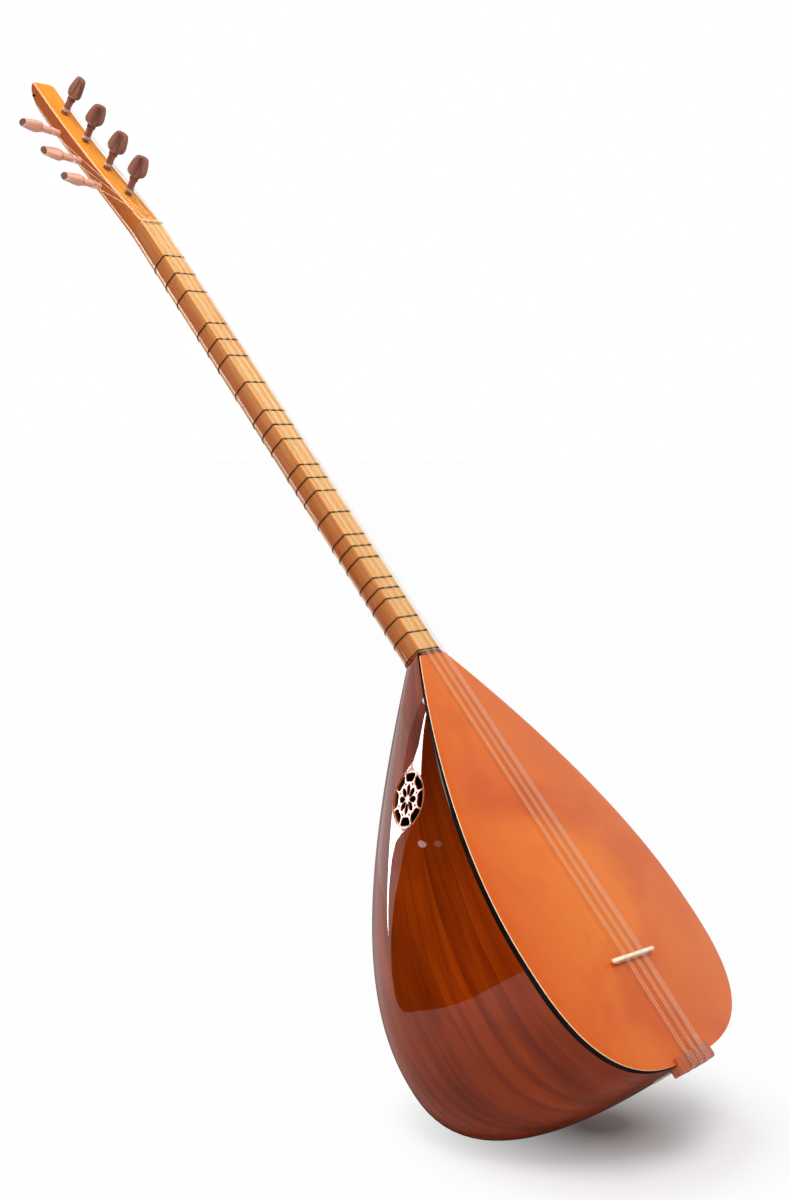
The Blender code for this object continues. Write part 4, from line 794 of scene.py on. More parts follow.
def bowl_sheet():
    """The bowl's outer surface: a fan of half planes through the seam axis, closed at the tail."""
    seams = seam_angles()
    cells, tail_rows, upper_rows = 8, 34, 70
    rows = tail_rows + upper_rows
    centre = seam_axis(DEEPEST)
    axis = (seam_axis(NECK_JOINT) - seam_axis(-TAIL_LENGTH)).normalized()
    known = {}

    def ray(row, angle):
        radial = Vector((-math.cos(angle), 0, -math.sin(angle)))
        if row < tail_rows:
            lean = math.pi / 2 * row / tail_rows
            way = (radial * math.sin(lean) - axis * math.cos(lean)).normalized()
            return surface_from(centre, way, 2 * DEPTH)
        y = DEEPEST + (NECK_JOINT - DEEPEST) * (row - tail_rows) / upper_rows
        return surface_from(seam_axis(y), radial, 2 * DEPTH, (half_width(y), depth(y)))

    def rim_angle(row):
        low, high = -math.pi / 2, seams[0]
        for _ in range(24):
            middle = (low + high) / 2
            point = ray(row, middle)
            if point.z > -binding_height(point.y) - GAP:
                low = middle
            else:
                high = middle
        return high if high > -math.pi / 2 + 1e-5 else -math.pi / 2

    def place(u, v):
        row = round(v * rows)
        column = round(u * STAVES * cells)
        if row not in known:
            rim = rim_angle(row)
            known[row] = [rim, *seams, math.pi - rim]
        stave = min(column // cells, STAVES - 1)
        share = column / cells - stave
        angles = known[row]
        return ray(row, angles[stave] + (angles[stave + 1] - angles[stave]) * share)

    return sheet(STAVES * cells, rows, place, ends=False)


def rosette_seats():
    """Centre, outward normal and radius of each rosette."""
    y, z, radius = SIDE_ROSETTE
    side = surface_from(Vector((0, y, z)), Vector((-1, 0, 0)), HALF_WIDTH)
    low, small = TAIL_ROSETTE
    tail = surface_from(Vector((0, DEEPEST, low)), Vector((0, -1, 0)), DEEPEST + TAIL_LENGTH)
    return {"side_rosette": (side, surface_normal(side), radius), "tail_rosette": (tail, surface_normal(tail), small)}


def finish_bowl(colours):
    bm = bowl_sheet()
    bmesh.ops.solidify(bm, geom=list(bm.faces), thickness=WALL)
    bmesh.ops.recalc_face_normals(bm, faces=bm.faces)
    cutters = []
    for centre, normal, radius in rosette_seats().values():
        reach = normal * (3 * WALL)
        cutters.append(bar(centre - 2 * reach, centre + reach, radius + GAP, radius + GAP, 64))
    piece("bowl_shell", bm, bowl_lacquer(colours), "body", ["bowl"], 40, cutters)


def board_plate(inset, top, bottom):
    """A plate in the outline of the body, that much inside it."""
    end = NECK_JOINT - 2 * GAP - LIP_LENGTH

    def place(u, v):
        right = outline_point(v, inset)
        if right.y > end:
            right = Vector((half_width(end) - inset * 1.02, end))
        return Vector(((2 * u - 1) * right.x, right.y, top))

    bm = sheet(24, 120, place, ends=False)
    for face in bm.faces:
        if face.normal.z < 0:
            face.normal_flip()
    made = bmesh.ops.extrude_face_region(bm, geom=list(bm.faces), use_keep_orig=True)["geom"]
    low = [g for g in made if isinstance(g, bmesh.types.BMVert)]
    bmesh.ops.translate(bm, verts=low, vec=(0, 0, bottom - top))
    bmesh.ops.recalc_face_normals(bm, faces=bm.faces)
    return bm


def finish_board(colours):
    """The soundboard, whose thin rounded lip covers the black band's top."""
    lip = board_plate(0.00002, 0.0, -LIP_THICKNESS)
    rim = [e for e in lip.edges if e.calc_face_angle(0) > 1 and all(v.co.z > -LEAST_SIZE for v in e.verts)]
    bmesh.ops.bevel(lip, geom=rim, offset=0.8 * LIP_THICKNESS, offset_type="OFFSET", segments=4, profile=0.5,
                    material=-1, affect="EDGES", clamp_overlap=True)
    join(lip, board_plate(BINDING_WIDTH + 0.00006, -0.9 * LIP_THICKNESS, -BOARD_THICKNESS))
    piece("soundboard_plate", lip, board_stain(colours), "body", ["soundboard"], 50)


def finish_edge():
    """The black band in the rim's rabbet, under the soundboard's lip."""
    sections = []
    steps = 160
    for k in range(steps + 1):
        t = 2 * k / steps - 1
        outer, inner = outline_point(t), outline_point(t, BINDING_WIDTH)
        eased = outer.lerp(inner, 0.12)
        high, low = -LIP_THICKNESS, -binding_height(outer.y)
        ring = [(inner, high), (inner, low), (eased, low), (outer, low + 0.0002), (outer, high - 0.0002),
                (eased, high)]
        sections.append([(plan.x, plan.y, z) for plan, z in ring])
    piece("edge_band", loft(sections), edge_black(), "body", ["edge_binding"], 50)


def finish_inside():
    """The bars, linings and blocks inside, with bare wood, and the strip of the neck block that shows."""
    spruce = plain_wood("bare_spruce", (0.66, 0.49, 0.29), (0.52, 0.36, 0.19), 0.65)
    beech = plain_wood("bare_beech", (0.56, 0.36, 0.20), (0.44, 0.26, 0.13), 0.65)
    block = plain_wood("block_wood", (0.300, 0.085, 0.040), (0.160, 0.045, 0.024), 0.32, 0.5)
    dress(["upper_brace", "lower_brace"], spruce)
    dress(["left_lining", "right_lining", "tail_block"], beech)
    dress(["neck_block"], block)


# Rosettes


def polar(radius, angle):
    return Vector((radius * math.cos(angle), radius * math.sin(angle)))


def rounded(loop, steps=4):
    """A closed outline with its corners eased."""
    count = len(loop)
    eased = []
    for k in range(count):
        a, b, c = loop[k - 1], loop[k], loop[(k + 1) % count]
        start, end = b.lerp(a, 0.30), b.lerp(c, 0.30)
        for step in range(steps + 1):
            t = step / steps
            eased.append(start * (1 - t) ** 2 + b * 2 * t * (1 - t) + end * t * t)
    return eased


def lattice(radius, petals):
    """Flat outlines of a rosette: its rim, its eight outer openings and, inside them, petals and small holes."""
    loops = [[polar(radius, math.tau * k / 96) for k in range(96)]]
    pitch = math.tau / 8
    for k in range(8):
        middle = pitch * k
        fan = [(0.98, 0.45), (0.975, 0.22), (0.975, 0), (0.975, -0.22), (0.98, -0.45), (0.83, -0.46), (0.69, -0.38),
               (0.645, -0.18), (0.66, 0), (0.645, 0.18), (0.69, 0.38), (0.83, 0.46)]
        loops.append(rounded([polar(r * radius, middle + pitch * off) for r, off in fan]))
        if petals:
            drop = [(0.10, 0), (0.22, 0.46), (0.36, 0.44), (0.48, 0.30), (0.58, 0), (0.48, -0.30), (0.36, -0.44),
                    (0.22, -0.46)]
            loops.append(rounded([polar(r * radius, middle + pitch * off) for r, off in drop]))
            centre = polar(0.60 * radius, middle + pitch / 2)
            loops.append([centre + polar(0.045 * radius, math.tau * k / 12) for k in range(12)])
    return loops


def finials(radius):
    """Small flat ornaments above and below the rosette: a pointed drop with a bud at each side and a dot over it."""
    shapes = []
    for sign in (1, -1):
        reach = 1.40 if sign > 0 else 1.26
        drop = [(0, 1.05), (0.075, 1.10), (0.04, 1.05 + (reach - 1.05) * 0.6), (0, reach),
                (-0.04, 1.05 + (reach - 1.05) * 0.6), (-0.075, 1.10)]
        shapes.append(rounded([Vector((x, y * sign)) * radius for x, y in drop]))
        for side in (-1, 1):
            bud = [(0.11, 1.035), (0.22, 1.03), (0.17, 1.10), (0.12, 1.16), (0.09, 1.09)]
            shapes.append(rounded([Vector((x * side, y * sign)) * radius for x, y in bud]))
        dot = Vector((0, (reach + 0.06) * sign)) * radius
        shapes.append([dot + polar(0.028 * radius, math.tau * k / 12) for k in range(12)])
    return shapes


def bent_plate(loops, seat, top, bottom):
    """Flat outlines filled, made solid and bent to the bowl's surface."""
    centre, normal, _ = seat
    up = Vector((0, 1, 0)) if abs(normal.y) < 0.9 else Vector((0, 0, 1))
    up = (up - normal * up.dot(normal)).normalized()
    if abs(normal.y) < 0.9:
        up.rotate(Quaternion(normal, SIDE_ROSETTE_TURN))
    across = up.cross(normal)
    bm = bmesh.new()
    bm.loops.layers.uv.new("grain")
    for loop in loops:
        verts = [bm.verts.new((*point, 0)) for point in loop]
        for k, vert in enumerate(verts):
            bm.edges.new((vert, verts[(k + 1) % len(verts)]))
    bmesh.ops.triangle_fill(bm, use_beauty=True, edges=bm.edges, normal=(0, 0, 1))
    upper = list(bm.verts)
    made = bmesh.ops.extrude_face_region(bm, geom=list(bm.faces), use_keep_orig=True)["geom"]
    lower = [g for g in made if isinstance(g, bmesh.types.BMVert)]
    for verts, height in ((upper, top), (lower, bottom)):
        for vert in verts:
            inside = centre + across * vert.co.x + up * vert.co.y - normal * (5 * WALL)
            vert.co = surface_from(inside, normal, 10 * WALL) + normal * height
    bmesh.ops.recalc_face_normals(bm, faces=bm.faces)
    return bm


def finish_rosettes(colours, sizes):
    wood = neck_varnish("rosette_wood", colours, (0.42, 0.13, 0.045), (0.20, 0.05, 0.016), 40.0, 0.55)
    dull = neck_varnish("rosette_rim_wood", colours, (0.36, 0.11, 0.045), (0.22, 0.06, 0.02), 40.0, 0.12)
    bare = plain_wood("tail_rosette_wood", (0.90, 0.76, 0.56), (0.74, 0.57, 0.38), 0.4, 0.3)
    for name, seat in rosette_seats().items():
        top = 0.0 if name == "side_rosette" else 0.0008
        bm = bent_plate(lattice(seat[2], name == "side_rosette"), seat, top, -0.5 * ROSETTE_THICKNESS)
        soften(bm, 0.8 * sizes.edge_round, 1, 60)
        if name == "side_rosette":
            rims = [[polar(reach * seat[2], math.tau * k / 96) for k in range(96)] for reach in (1.07, 1.04)]
            rim = bent_plate(rims, seat, 0.0004, -0.0003)
            join(rim, bent_plate(finials(seat[2]), seat, 0.0003, -0.0003))
            piece("side_rosette_rim", rim, dull, "body", sharp=30)
        piece(f"{name}_lattice", bm, wood if top == 0 else bare, "body", [name], 30)


# Neck and headstock


def finish_neck(colours):
    sections = []
    start = NECK_JOINT + GAP
    for k in range(13):
        y = start + (NECK_END - start) * k / 12
        sections.append([(x, y, z) for x, z in d_section(*neck_size(y))])
    half = NECK_HALF_WIDTH
    low, high = NECK_END - NUT_WIDTH - GAP, NECK_END + half
    seat = slab([(-half, low, -NUT_SEAT), (half, low, -NUT_SEAT), (half, high, -NUT_SEAT), (-half, high, -NUT_SEAT)],
                (0, 0, half))
    wood = neck_varnish("neck_varnish", colours, colours.neck_light, colours.neck_dark)
    piece("neck_shaft", loft(sections), wood, "body", ["neck"], 30, [seat])


def finish_head(colours):
    """The headstock, swept back, with its tip rounded off and a hole for each peg."""
    sections = []
    nose = HEAD_END - NOSE_LENGTH
    places = [HEAD_START + (nose - HEAD_START) * k / 44 for k in range(44)]
    places += [nose + NOSE_LENGTH * math.sin(math.pi / 2 * k / 14) for k in range(15)]
    for y in places:
        face = head_face(y)
        sections.append([(x, y, face + z) for x, z in d_section(*head_size(y))])
    cutters = []
    for name in sorted(set(STRING_PEGS)):
        seat, way = peg_frame(name)
        through = 2 * NUT_HALF_WIDTH if abs(way.x) > 0.5 else head_size(seat.y)[2]
        slope = (PEG_FACE_RADIUS - PEG_END_RADIUS) / through
        out = 0.004
        cutters.append(bar(seat + way * out, seat - way * (through + out), PEG_FACE_RADIUS + 0.0001 + slope * out,
                           PEG_END_RADIUS + 0.0001 - slope * out, 32))
    half, tip = NUT_HALF_WIDTH, head_face(HEAD_END)
    corner = [(half + 0.001, HEAD_END + 0.001), (half + 0.001, HEAD_END - TIP_ROUND)]
    corner += [(half - TIP_ROUND * (1 - math.cos(math.pi / 2 * k / 16)),
                HEAD_END - TIP_ROUND * (1 - math.sin(math.pi / 2 * k / 16))) for k in range(17)]
    corner.append((half - TIP_ROUND, HEAD_END + 0.001))
    cutters.append(slab([(x, y, tip - 0.03) for x, y in corner], (0, 0, 0.05)))
    pin_low, pin_high = [TO_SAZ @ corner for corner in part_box("tip_pin")]
    middle = (pin_low + pin_high) / 2
    radius = 0.00145
    cutters.append(bar((-half - 0.002, middle.y, middle.z), (-half + 0.0065, middle.y, middle.z), radius, radius, 24))
    wood = neck_varnish("head_varnish", colours, colours.head_light, colours.head_dark, 7.0)
    piece("headstock_body", loft(sections), wood, "body", ["headstock"], 30, cutters)


def finish_pegs(colours):
    """The seven pegs: a tapered shaft, a turned collar and a flattened head."""
    dark = plain_wood("peg_wood", colours.peg_light, colours.peg_dark, 0.34, 0.3, 160.0, 30.0, True)
    # Painted light: the side pegs get a paler copy of the peg wood, standing in for the brighter light on them, with a
    # dark ring near the end.
    pale = plain_wood("side_peg_painted_light_wood", (0.86, 0.45, 0.31), (0.66, 0.30, 0.19), 0.34, 0.3, 160.0, 30.0, True,
                      (0.10, 0.035, 0.03))
    form = ((0.00, 0.42, 0.64), (0.07, 0.60, 0.84), (0.15, 0.88, 0.98), (0.28, 1.00, 1.00), (0.44, 0.99, 0.93),
            (0.70, 0.87, 0.81), (0.90, 0.71, 0.73), (0.98, 0.58, 0.64))
    for name in sorted(set(STRING_PEGS)):
        seat, way = peg_frame(name)
        points = [TO_SAZ @ v.co - seat for v in frame["nodes"][name].data.vertices]
        out = max(p.dot(way) for p in points)
        end = min(p.dot(way) for p in points)
        broad = max(points, key=lambda p: (p - way * p.dot(way)).length)
        broad = (broad - way * broad.dot(way)).normalized()
        other = way.cross(broad)
        head = out - PEG_HEAD_LENGTH
        through = -end - 0.0012
        rows = [(end, 0.0026, 0.0026), (end + 0.0004, PEG_END_RADIUS, PEG_END_RADIUS)]
        rows += [(-through, PEG_END_RADIUS, PEG_END_RADIUS), (0.0, PEG_FACE_RADIUS, PEG_FACE_RADIUS)]
        collar = head - 0.0024
        rows.append((collar - 0.0012, PEG_FACE_RADIUS, PEG_FACE_RADIUS))
        for bead in range(2):
            start = collar - 0.0010 + bead * 0.0017
            for step in range(7):
                turn = math.pi * step / 6
                wide = 0.0037 + 0.0010 * math.sin(turn)
                rows.append((start + 0.0016 * step / 6, wide, wide))
        lines = smooth_line([Vector(row) for row in form], 5)
        rows += [(head + PEG_HEAD_LENGTH * p.x, PEG_HEAD_HALF * p.y, PEG_HEAD_THICK * p.z) for p in lines[1:]]
        rows += [(out - 0.0003, PEG_HEAD_HALF * 0.53, PEG_HEAD_THICK * 0.58),
                 (out, PEG_HEAD_HALF * 0.46, PEG_HEAD_THICK * 0.50)]
        sections = []
        for along, wide, thick in rows:
            ring = []
            for k in range(36):
                angle = math.tau * k / 36
                cos, sin = math.cos(angle), math.sin(angle)
                point = broad * (wide * cos) + other * (thick * sin)
                ring.append(seat + way * along + point)
            sections.append(ring)
        # The side pegs take the paler copy, painted as if lit.
        wood = pale if abs(way.x) > 0.5 else dark
        piece(f"{name}_turned", loft(sections), wood, name, [name], 28)


# Frets and strings


def fret_path(y, off):
    """One turn round the neck at y, as points with their distance from it."""
    half, side, full = neck_size(y)
    loop = d_section(half + off, side, full + 2 * off, ARRIS + 0.4 * off)
    return [Vector((x, y, z + off)) for x, z in loop]


def finish_frets(sizes):
    """Tied frets: turns of line round the neck, with a small knot behind it."""
    line = fret_line()
    names = sorted(node for node in frame["nodes"] if node.startswith("fret_"))
    radius = sizes.fret_radius
    for name in names:
        ys = [(TO_SAZ @ v.co).y for v in frame["nodes"][name].data.vertices]
        middle = (min(ys) + max(ys)) / 2
        loop = fret_path(middle, radius + 0.00008)
        count = len(loop)
        start = count // 2
        pitch = 0.00095
        points = []
        for k in range(sizes.fret_turns * count + 1):
            point = loop[(start + k) % count].copy()
            point.y += pitch * (k / count - sizes.fret_turns / 2)
            points.append(point)
        bm = tube(points, radius)
        knot = points[0].lerp(points[-1], 0.5)
        turns = [math.tau * k / 10 for k in range(15)]
        loops = [knot + Vector((0.0005 * math.cos(a), 0.0011 * math.sin(a / 2), -0.0001 + 0.00035 * math.sin(a)))
                 for a in turns]
        join(bm, tube(loops, radius, 6))
        piece(f"{name}_tied", bm, line, name, [name], 60)


def string_rows():
    """Each string's radius, place at the nut and place at the bridge, from the left."""
    rows = []
    for course, count in ((-1, 2), (0, 2), (1, 3)):
        for k in range(count):
            off = k - (count - 1) / 2
            spread = 1.0 if count == 2 else TRIPLE_SPREAD
            radius = WOUND_RADIUS if course < 1 and k == 0 else PLAIN_RADIUS
            at_nut = course * COURSE_AT_NUT + off * PAIR_AT_NUT * spread
            rows.append((radius, at_nut, BRIDGE_OFF + course * COURSE_AT_BRIDGE + off * PAIR_AT_BRIDGE * spread))
    return rows


NUT_STRING_Z = NUT_HEIGHT - PLAIN_RADIUS
BRIDGE_STRING_Z = BRIDGE_HEIGHT + GAP - PLAIN_RADIUS


def winding(seat, way, radius, place, start_way, sense, turns):
    """The turns of a string round a peg, from the side that it comes to."""
    u = (start_way - way * start_way.dot(way)).normalized()
    v = way.cross(u) * sense
    reach = PEG_FACE_RADIUS + radius + 0.00003
    pitch = 0.0033 / turns
    points = []
    for k in range(turns * 20 + 1):
        turn = math.tau * k / 20
        along = place + pitch * (turns / 2 - k / 20)
        points.append(seat + way * along + (u * math.cos(turn) + v * math.sin(turn)) * reach)
    return points


def finish_strings(sizes):
    """Seven strings, each looped at the tail, stretched over bridge and nut, and wound on its peg."""
    steel = metal("plain_steel", (0.96, 0.84, 0.68), (0.80, 0.66, 0.50), 0.42)
    bronze = metal("wound_bronze", (0.90, 0.66, 0.42), (0.70, 0.46, 0.26), 0.42, 700.0)
    for number, ((radius, at_nut, at_bridge), peg) in enumerate(zip(string_rows(), STRING_PEGS), 1):
        seat, way = peg_frame(peg)
        outer = -TAIL_LENGTH - TAILPIECE_OUT
        off = radius + 0.0001
        bend = TAILPIECE_CURVE + off
        start = [Vector((at_bridge, outer - off, -TAILPIECE_DROP / 2))]
        for k in range(9):
            turn = math.pi / 2 * k / 8
            start.append(Vector((at_bridge, outer + TAILPIECE_CURVE - bend * math.cos(turn),
                                 TAILPIECE_TOP - TAILPIECE_CURVE + bend * math.sin(turn))))
        ledge = Vector((at_bridge, -TAIL_LENGTH + TAILPIECE_LEDGE / 2, TAILPIECE_TOP + off))
        saddle = Vector((at_bridge, 0, BRIDGE_STRING_Z))
        route = start + [ledge, saddle, Vector((at_nut, SCALE_LENGTH - NUT_WIDTH, NUT_STRING_Z)),
                         Vector((at_nut, NECK_END, NUT_STRING_Z))]
        if abs(way.x) > 0.5:
            over = SCALE_LENGTH + 0.30 * (seat.y - SCALE_LENGTH)
            route.append(Vector((-NUT_HALF_WIDTH - 2 * off, over, head_face(over) + ARRIS)))
            route += winding(seat, way, radius, 0.0090, Vector((0, -1, 0.25)), 1, sizes.string_turns)
        else:
            sense = 1 if at_nut < 0 else -1
            route += winding(seat, way, radius, 0.0055, Vector((-sense, -0.25, 0)), sense, sizes.string_turns)
        bm = tube(route, radius)
        twist = []
        reach = (saddle - ledge).normalized()
        for k in range(73):
            turn = math.tau * k / 8
            at = ledge + reach * (0.0002 * k - 0.0015)
            side = Vector((math.cos(turn), 0, math.sin(turn))) * (radius + 0.00018)
            twist.append(at + side)
        join(bm, tube(twist, 0.00018, 6))
        wound = radius == WOUND_RADIUS
        piece(f"string_{number}_line", bm, bronze if wound else steel, "body", [f"string_{number}"],
              60)


# Fittings


def finish_fittings(sizes):
    """The nut, the bridge, the tailpiece and the pin at the tip."""
    pale = bone("bridge_bone", (1.0, 0.93, 0.75), (0.92, 0.78, 0.55))
    amber = bone("nut_bone", (0.95, 0.66, 0.36), (0.85, 0.50, 0.22))
    red = plain_wood("tailpiece_wood", (0.560, 0.125, 0.042), (0.350, 0.070, 0.024), 0.32, 0.5, 220.0, 16.0)
    rows = string_rows()
    soft = sizes.edge_round
    half = NUT_HALF_WIDTH - ARRIS / 2
    low = NECK_END - NUT_WIDTH
    nut = slab([(-half, low, GAP - NUT_SEAT), (-half, low, NUT_HEIGHT), (-half, NECK_END - 0.0002, NUT_HEIGHT),
                (-half, NECK_END, NUT_HEIGHT - 0.0006), (-half, NECK_END, GAP - NUT_SEAT)], (2 * half, 0, 0))
    soften(nut, soft)
    slots = [bar((x, low - GAP, NUT_STRING_Z), (x, NECK_END + GAP, NUT_STRING_Z), radius * 1.3, radius * 1.3, 12)
             for radius, x, _ in rows]
    piece("nut_strip", nut, amber, "body", ["nut"], 35, slots)
    profile = [(-BRIDGE_LENGTH / 2, BRIDGE_HEIGHT - BRIDGE_TIP_HEIGHT), (-BRIDGE_FOOT / 2, 0)]
    for course in (-1, 0, 1):
        for k in range(13):
            turn = math.pi * k / 12
            profile.append((course * COURSE_AT_BRIDGE - 0.00375 * math.cos(turn), 0.0014 * math.sin(turn)))
    profile += [(BRIDGE_FOOT / 2, 0), (BRIDGE_LENGTH / 2, BRIDGE_HEIGHT - BRIDGE_TIP_HEIGHT),
                (BRIDGE_LENGTH / 2, BRIDGE_HEIGHT), (-BRIDGE_LENGTH / 2, BRIDGE_HEIGHT)]
    bridge = slab([(x, -BRIDGE_WIDTH / 2, z + GAP) for x, z in profile], (0, BRIDGE_WIDTH, 0))
    for vert in bridge.verts:
        vert.co.y *= 1 + (BRIDGE_TOP_WIDTH / BRIDGE_WIDTH - 1) * (vert.co.z - GAP) / BRIDGE_HEIGHT
    soften(bridge, soft)
    turn = Matrix.Translation((BRIDGE_OFF, 0, 0)) @ Matrix.Rotation(BRIDGE_SKEW, 4, "Z")
    bmesh.ops.transform(bridge, matrix=turn, verts=bridge.verts)
    notches = [bar((x, -0.01, BRIDGE_STRING_Z), (x, 0.01, BRIDGE_STRING_Z), radius + NOTCH_ROOM, radius + NOTCH_ROOM, 12)
               for radius, _, x in rows]
    piece("bridge_bar", bridge, pale, "bridge", ["bridge"], 35, notches)
    inner, outer = -TAIL_LENGTH - GAP, -TAIL_LENGTH - TAILPIECE_OUT
    form = [(inner + TAILPIECE_LEDGE, GAP), (inner + TAILPIECE_LEDGE, TAILPIECE_TOP)]
    for k in range(9):
        turn = math.pi / 2 * k / 8
        form.append((outer + TAILPIECE_CURVE * (1 - math.sin(turn)),
                     TAILPIECE_TOP - TAILPIECE_CURVE * (1 - math.cos(turn))))
    form += [(outer, -TAILPIECE_DROP), (inner, -TAILPIECE_DROP), (inner, GAP)]
    tail = slab([(TAILPIECE_OFF - TAILPIECE_HALF, y, z) for y, z in form], (2 * TAILPIECE_HALF, 0, 0))
    soften(tail, 1.6 * soft)
    grooves = [bar((x, outer - 0.004, TAILPIECE_TOP + 0.0001), (x, inner + 0.012, TAILPIECE_TOP + 0.0001),
                   radius + 0.0002, radius + 0.0002, 12) for radius, _, x in rows]
    piece("tailpiece_cap", tail, red, "body", ["tailpiece"], 35, grooves)
    dress(["tip_pin"], edge_black())


# Studio


def lamp(name, direction, distance, size, power, height=None, colour=(1, 1, 1), target=(0, 0.1, 0.4)):
    """A rectangular soft lamp that looks at the saz from the given direction."""
    light = bpy.data.lights.new(name, "AREA")
    light.shape = "RECTANGLE"
    light.size = size
    light.size_y = height or size
    light.energy = power
    light.color = colour
    made = bpy.data.objects.new(name, light)
    way = Vector(direction).normalized()
    made.location = Vector(target) + way * distance
    made.rotation_euler = way.to_track_quat("Z", "Y").to_euler()
    bpy.context.scene.collection.objects.link(made)
    return made


def card(name, corners, strength, foot=(), fade=()):
    """A flat card that only the gloss of the finishes shows, on a bent foot or fading in along X where given."""
    bm = bmesh.new()
    flat_face(bm, corners)
    for start, end in zip(foot, foot[1:]):
        flat_face(bm, [(*start, 0.002), (*end, 0.002), (*end, 2.2), (*start, 2.2)])
    made = object_from(name, bm)
    material = bpy.data.materials.new(name)
    material.use_nodes = True
    graph = Tree(material.node_tree)
    graph.tree.nodes.clear()
    glow = graph.add("ShaderNodeEmission", {"Color": (1, 1, 1, 1), "Strength": strength})
    if fade:
        split = graph.add("ShaderNodeSeparateXYZ", {0: graph.add("ShaderNodeTexCoord").outputs["Object"]}).outputs
        graph.tree.links.new(graph.span(split[0], *fade, 0.0, strength), glow.inputs[1])
    graph.tree.links.new(glow.outputs[0], graph.add("ShaderNodeOutputMaterial").inputs[0])
    made.data.materials.append(material)
    made.visible_camera = False
    made.visible_diffuse = False
    made.visible_shadow = False
    made.visible_transmission = False
    return made


def shown(graph, in_gloss):
    """1 for what the camera sees straight or through glass, the given level in gloss, and 0 for light."""
    path = graph.add("ShaderNodeLightPath").outputs
    straight = graph.math("MAXIMUM", path["Is Camera Ray"], path["Is Transmission Ray"])
    return graph.math("MAXIMUM", straight, graph.math("MULTIPLY", path["Is Glossy Ray"], in_gloss))


CAMERA_PLACE, CAMERA_WAY = (-1.2822, -0.9203, 0.6416), (0.773, 0.6265, -0.0985)


def behind(graph, way):
    """0 to 1 for how nearly a direction points from the camera to what is straight behind the saz."""
    ahead = graph.add("ShaderNodeVectorMath", {0: way, 1: CAMERA_WAY}, operation="DOT_PRODUCT").outputs["Value"]
    return graph.span(ahead, 0.86, 0.97)


def studio_floor(radius):
    """A pale floor that goes over into the white surround away from the saz, and is dim in its gloss."""
    bm = bmesh.new()
    bmesh.ops.create_circle(bm, cap_ends=True, segments=96, radius=radius)
    floor = object_from("floor", bm)
    material = bpy.data.materials.new("pale_floor")
    material.use_nodes = True
    graph = Tree(material.node_tree)
    shader = material.node_tree.nodes["Principled BSDF"]
    shader.inputs["Specular IOR Level"].default_value = 0.1
    place = graph.add("ShaderNodeTexCoord").outputs["Object"]
    grain = graph.noise(place, 30.0, 4.0, 0.6)
    away = graph.add("ShaderNodeVectorMath", {0: place}, operation="LENGTH").outputs["Value"]
    gloss = graph.add("ShaderNodeLightPath").outputs["Is Glossy Ray"]
    seen = graph.add("ShaderNodeNewGeometry").outputs["Incoming"]
    way = graph.add("ShaderNodeVectorMath", {0: seen, "Scale": -1.0}, operation="SCALE").outputs[0]
    rear = graph.math("SUBTRACT", 1.0, graph.math("MULTIPLY", behind(graph, way), 0.7))
    dim = graph.math("SUBTRACT", 1.0, graph.math("MULTIPLY", graph.span(away, 0.1, 0.5, 0.3, 0.8), rear))
    colour = graph.blend(grain, (0.88, 0.825, 0.805), (0.90, 0.85, 0.83))
    colour = graph.blend(graph.math("MULTIPLY", gloss, dim), colour, (0, 0, 0))
    graph.tree.links.new(colour, shader.inputs["Base Color"])
    graph.tree.links.new(graph.span(grain, 0.3, 0.7, 0.75, 0.9), shader.inputs["Roughness"])
    # Painted light: away from a point beside the bowl the camera sees the floor as a white glow over its own shading,
    # so its shadow shows only near that point.
    beside = graph.add("ShaderNodeVectorMath", {0: place, 1: (0.07, -0.07, 0.0)}, operation="DISTANCE")
    straight = graph.math("MULTIPLY", graph.span(beside.outputs["Value"], 0.02, 0.20, 0.0, 1.0), shown(graph, 0.0))
    far = graph.math("MULTIPLY", graph.span(away, 0.35, 1.3, 0.0, 0.6), graph.math("MULTIPLY", gloss, rear))
    share = graph.math("MAXIMUM", straight, far)
    glow = graph.add("ShaderNodeEmission", {"Color": (1, 1, 1, 1), "Strength": 0.985})
    mix = graph.add("ShaderNodeMixShader", {0: share})
    graph.tree.links.new(shader.outputs[0], mix.inputs[1])
    graph.tree.links.new(glow.outputs[0], mix.inputs[2])
    output = material.node_tree.nodes["Material Output"]
    graph.tree.links.new(mix.outputs[0], output.inputs["Surface"])
    floor.data.materials.append(material)


def surround(light, gloss):
    """A white surround, at lower levels where it lights the saz or shows in its gloss."""
    world = bpy.data.worlds.new("studio")
    bpy.context.scene.world = world
    world.use_nodes = True
    graph = Tree(world.node_tree)
    back = world.node_tree.nodes["Background"]
    back.inputs[0].default_value = (1, 1, 1, 1)
    in_gloss = graph.span(behind(graph, graph.add("ShaderNodeTexCoord").outputs["Generated"]), 0, 1, gloss, 0.1)
    matt = graph.math("SUBTRACT", 1.0, graph.add("ShaderNodeLightPath").outputs["Is Glossy Ray"])
    level_here = graph.math("MAXIMUM", graph.math("MULTIPLY", matt, light), shown(graph, in_gloss))
    graph.tree.links.new(level_here, back.inputs[1])


def set_camera():
    """The camera at the photograph's viewing angle: its frame is 1200 high where its lens is 1777 long."""
    data = bpy.data.cameras.new("camera")
    data.sensor_fit = "VERTICAL"
    data.sensor_height = 24
    data.lens = 24 * 1777 / 1200
    camera = bpy.data.objects.new("camera", data)
    camera.location = CAMERA_PLACE
    camera.rotation_euler = (-Vector(CAMERA_WAY)).to_track_quat("Z", "Y").to_euler()
    bpy.context.scene.collection.objects.link(camera)
    bpy.context.scene.camera = camera


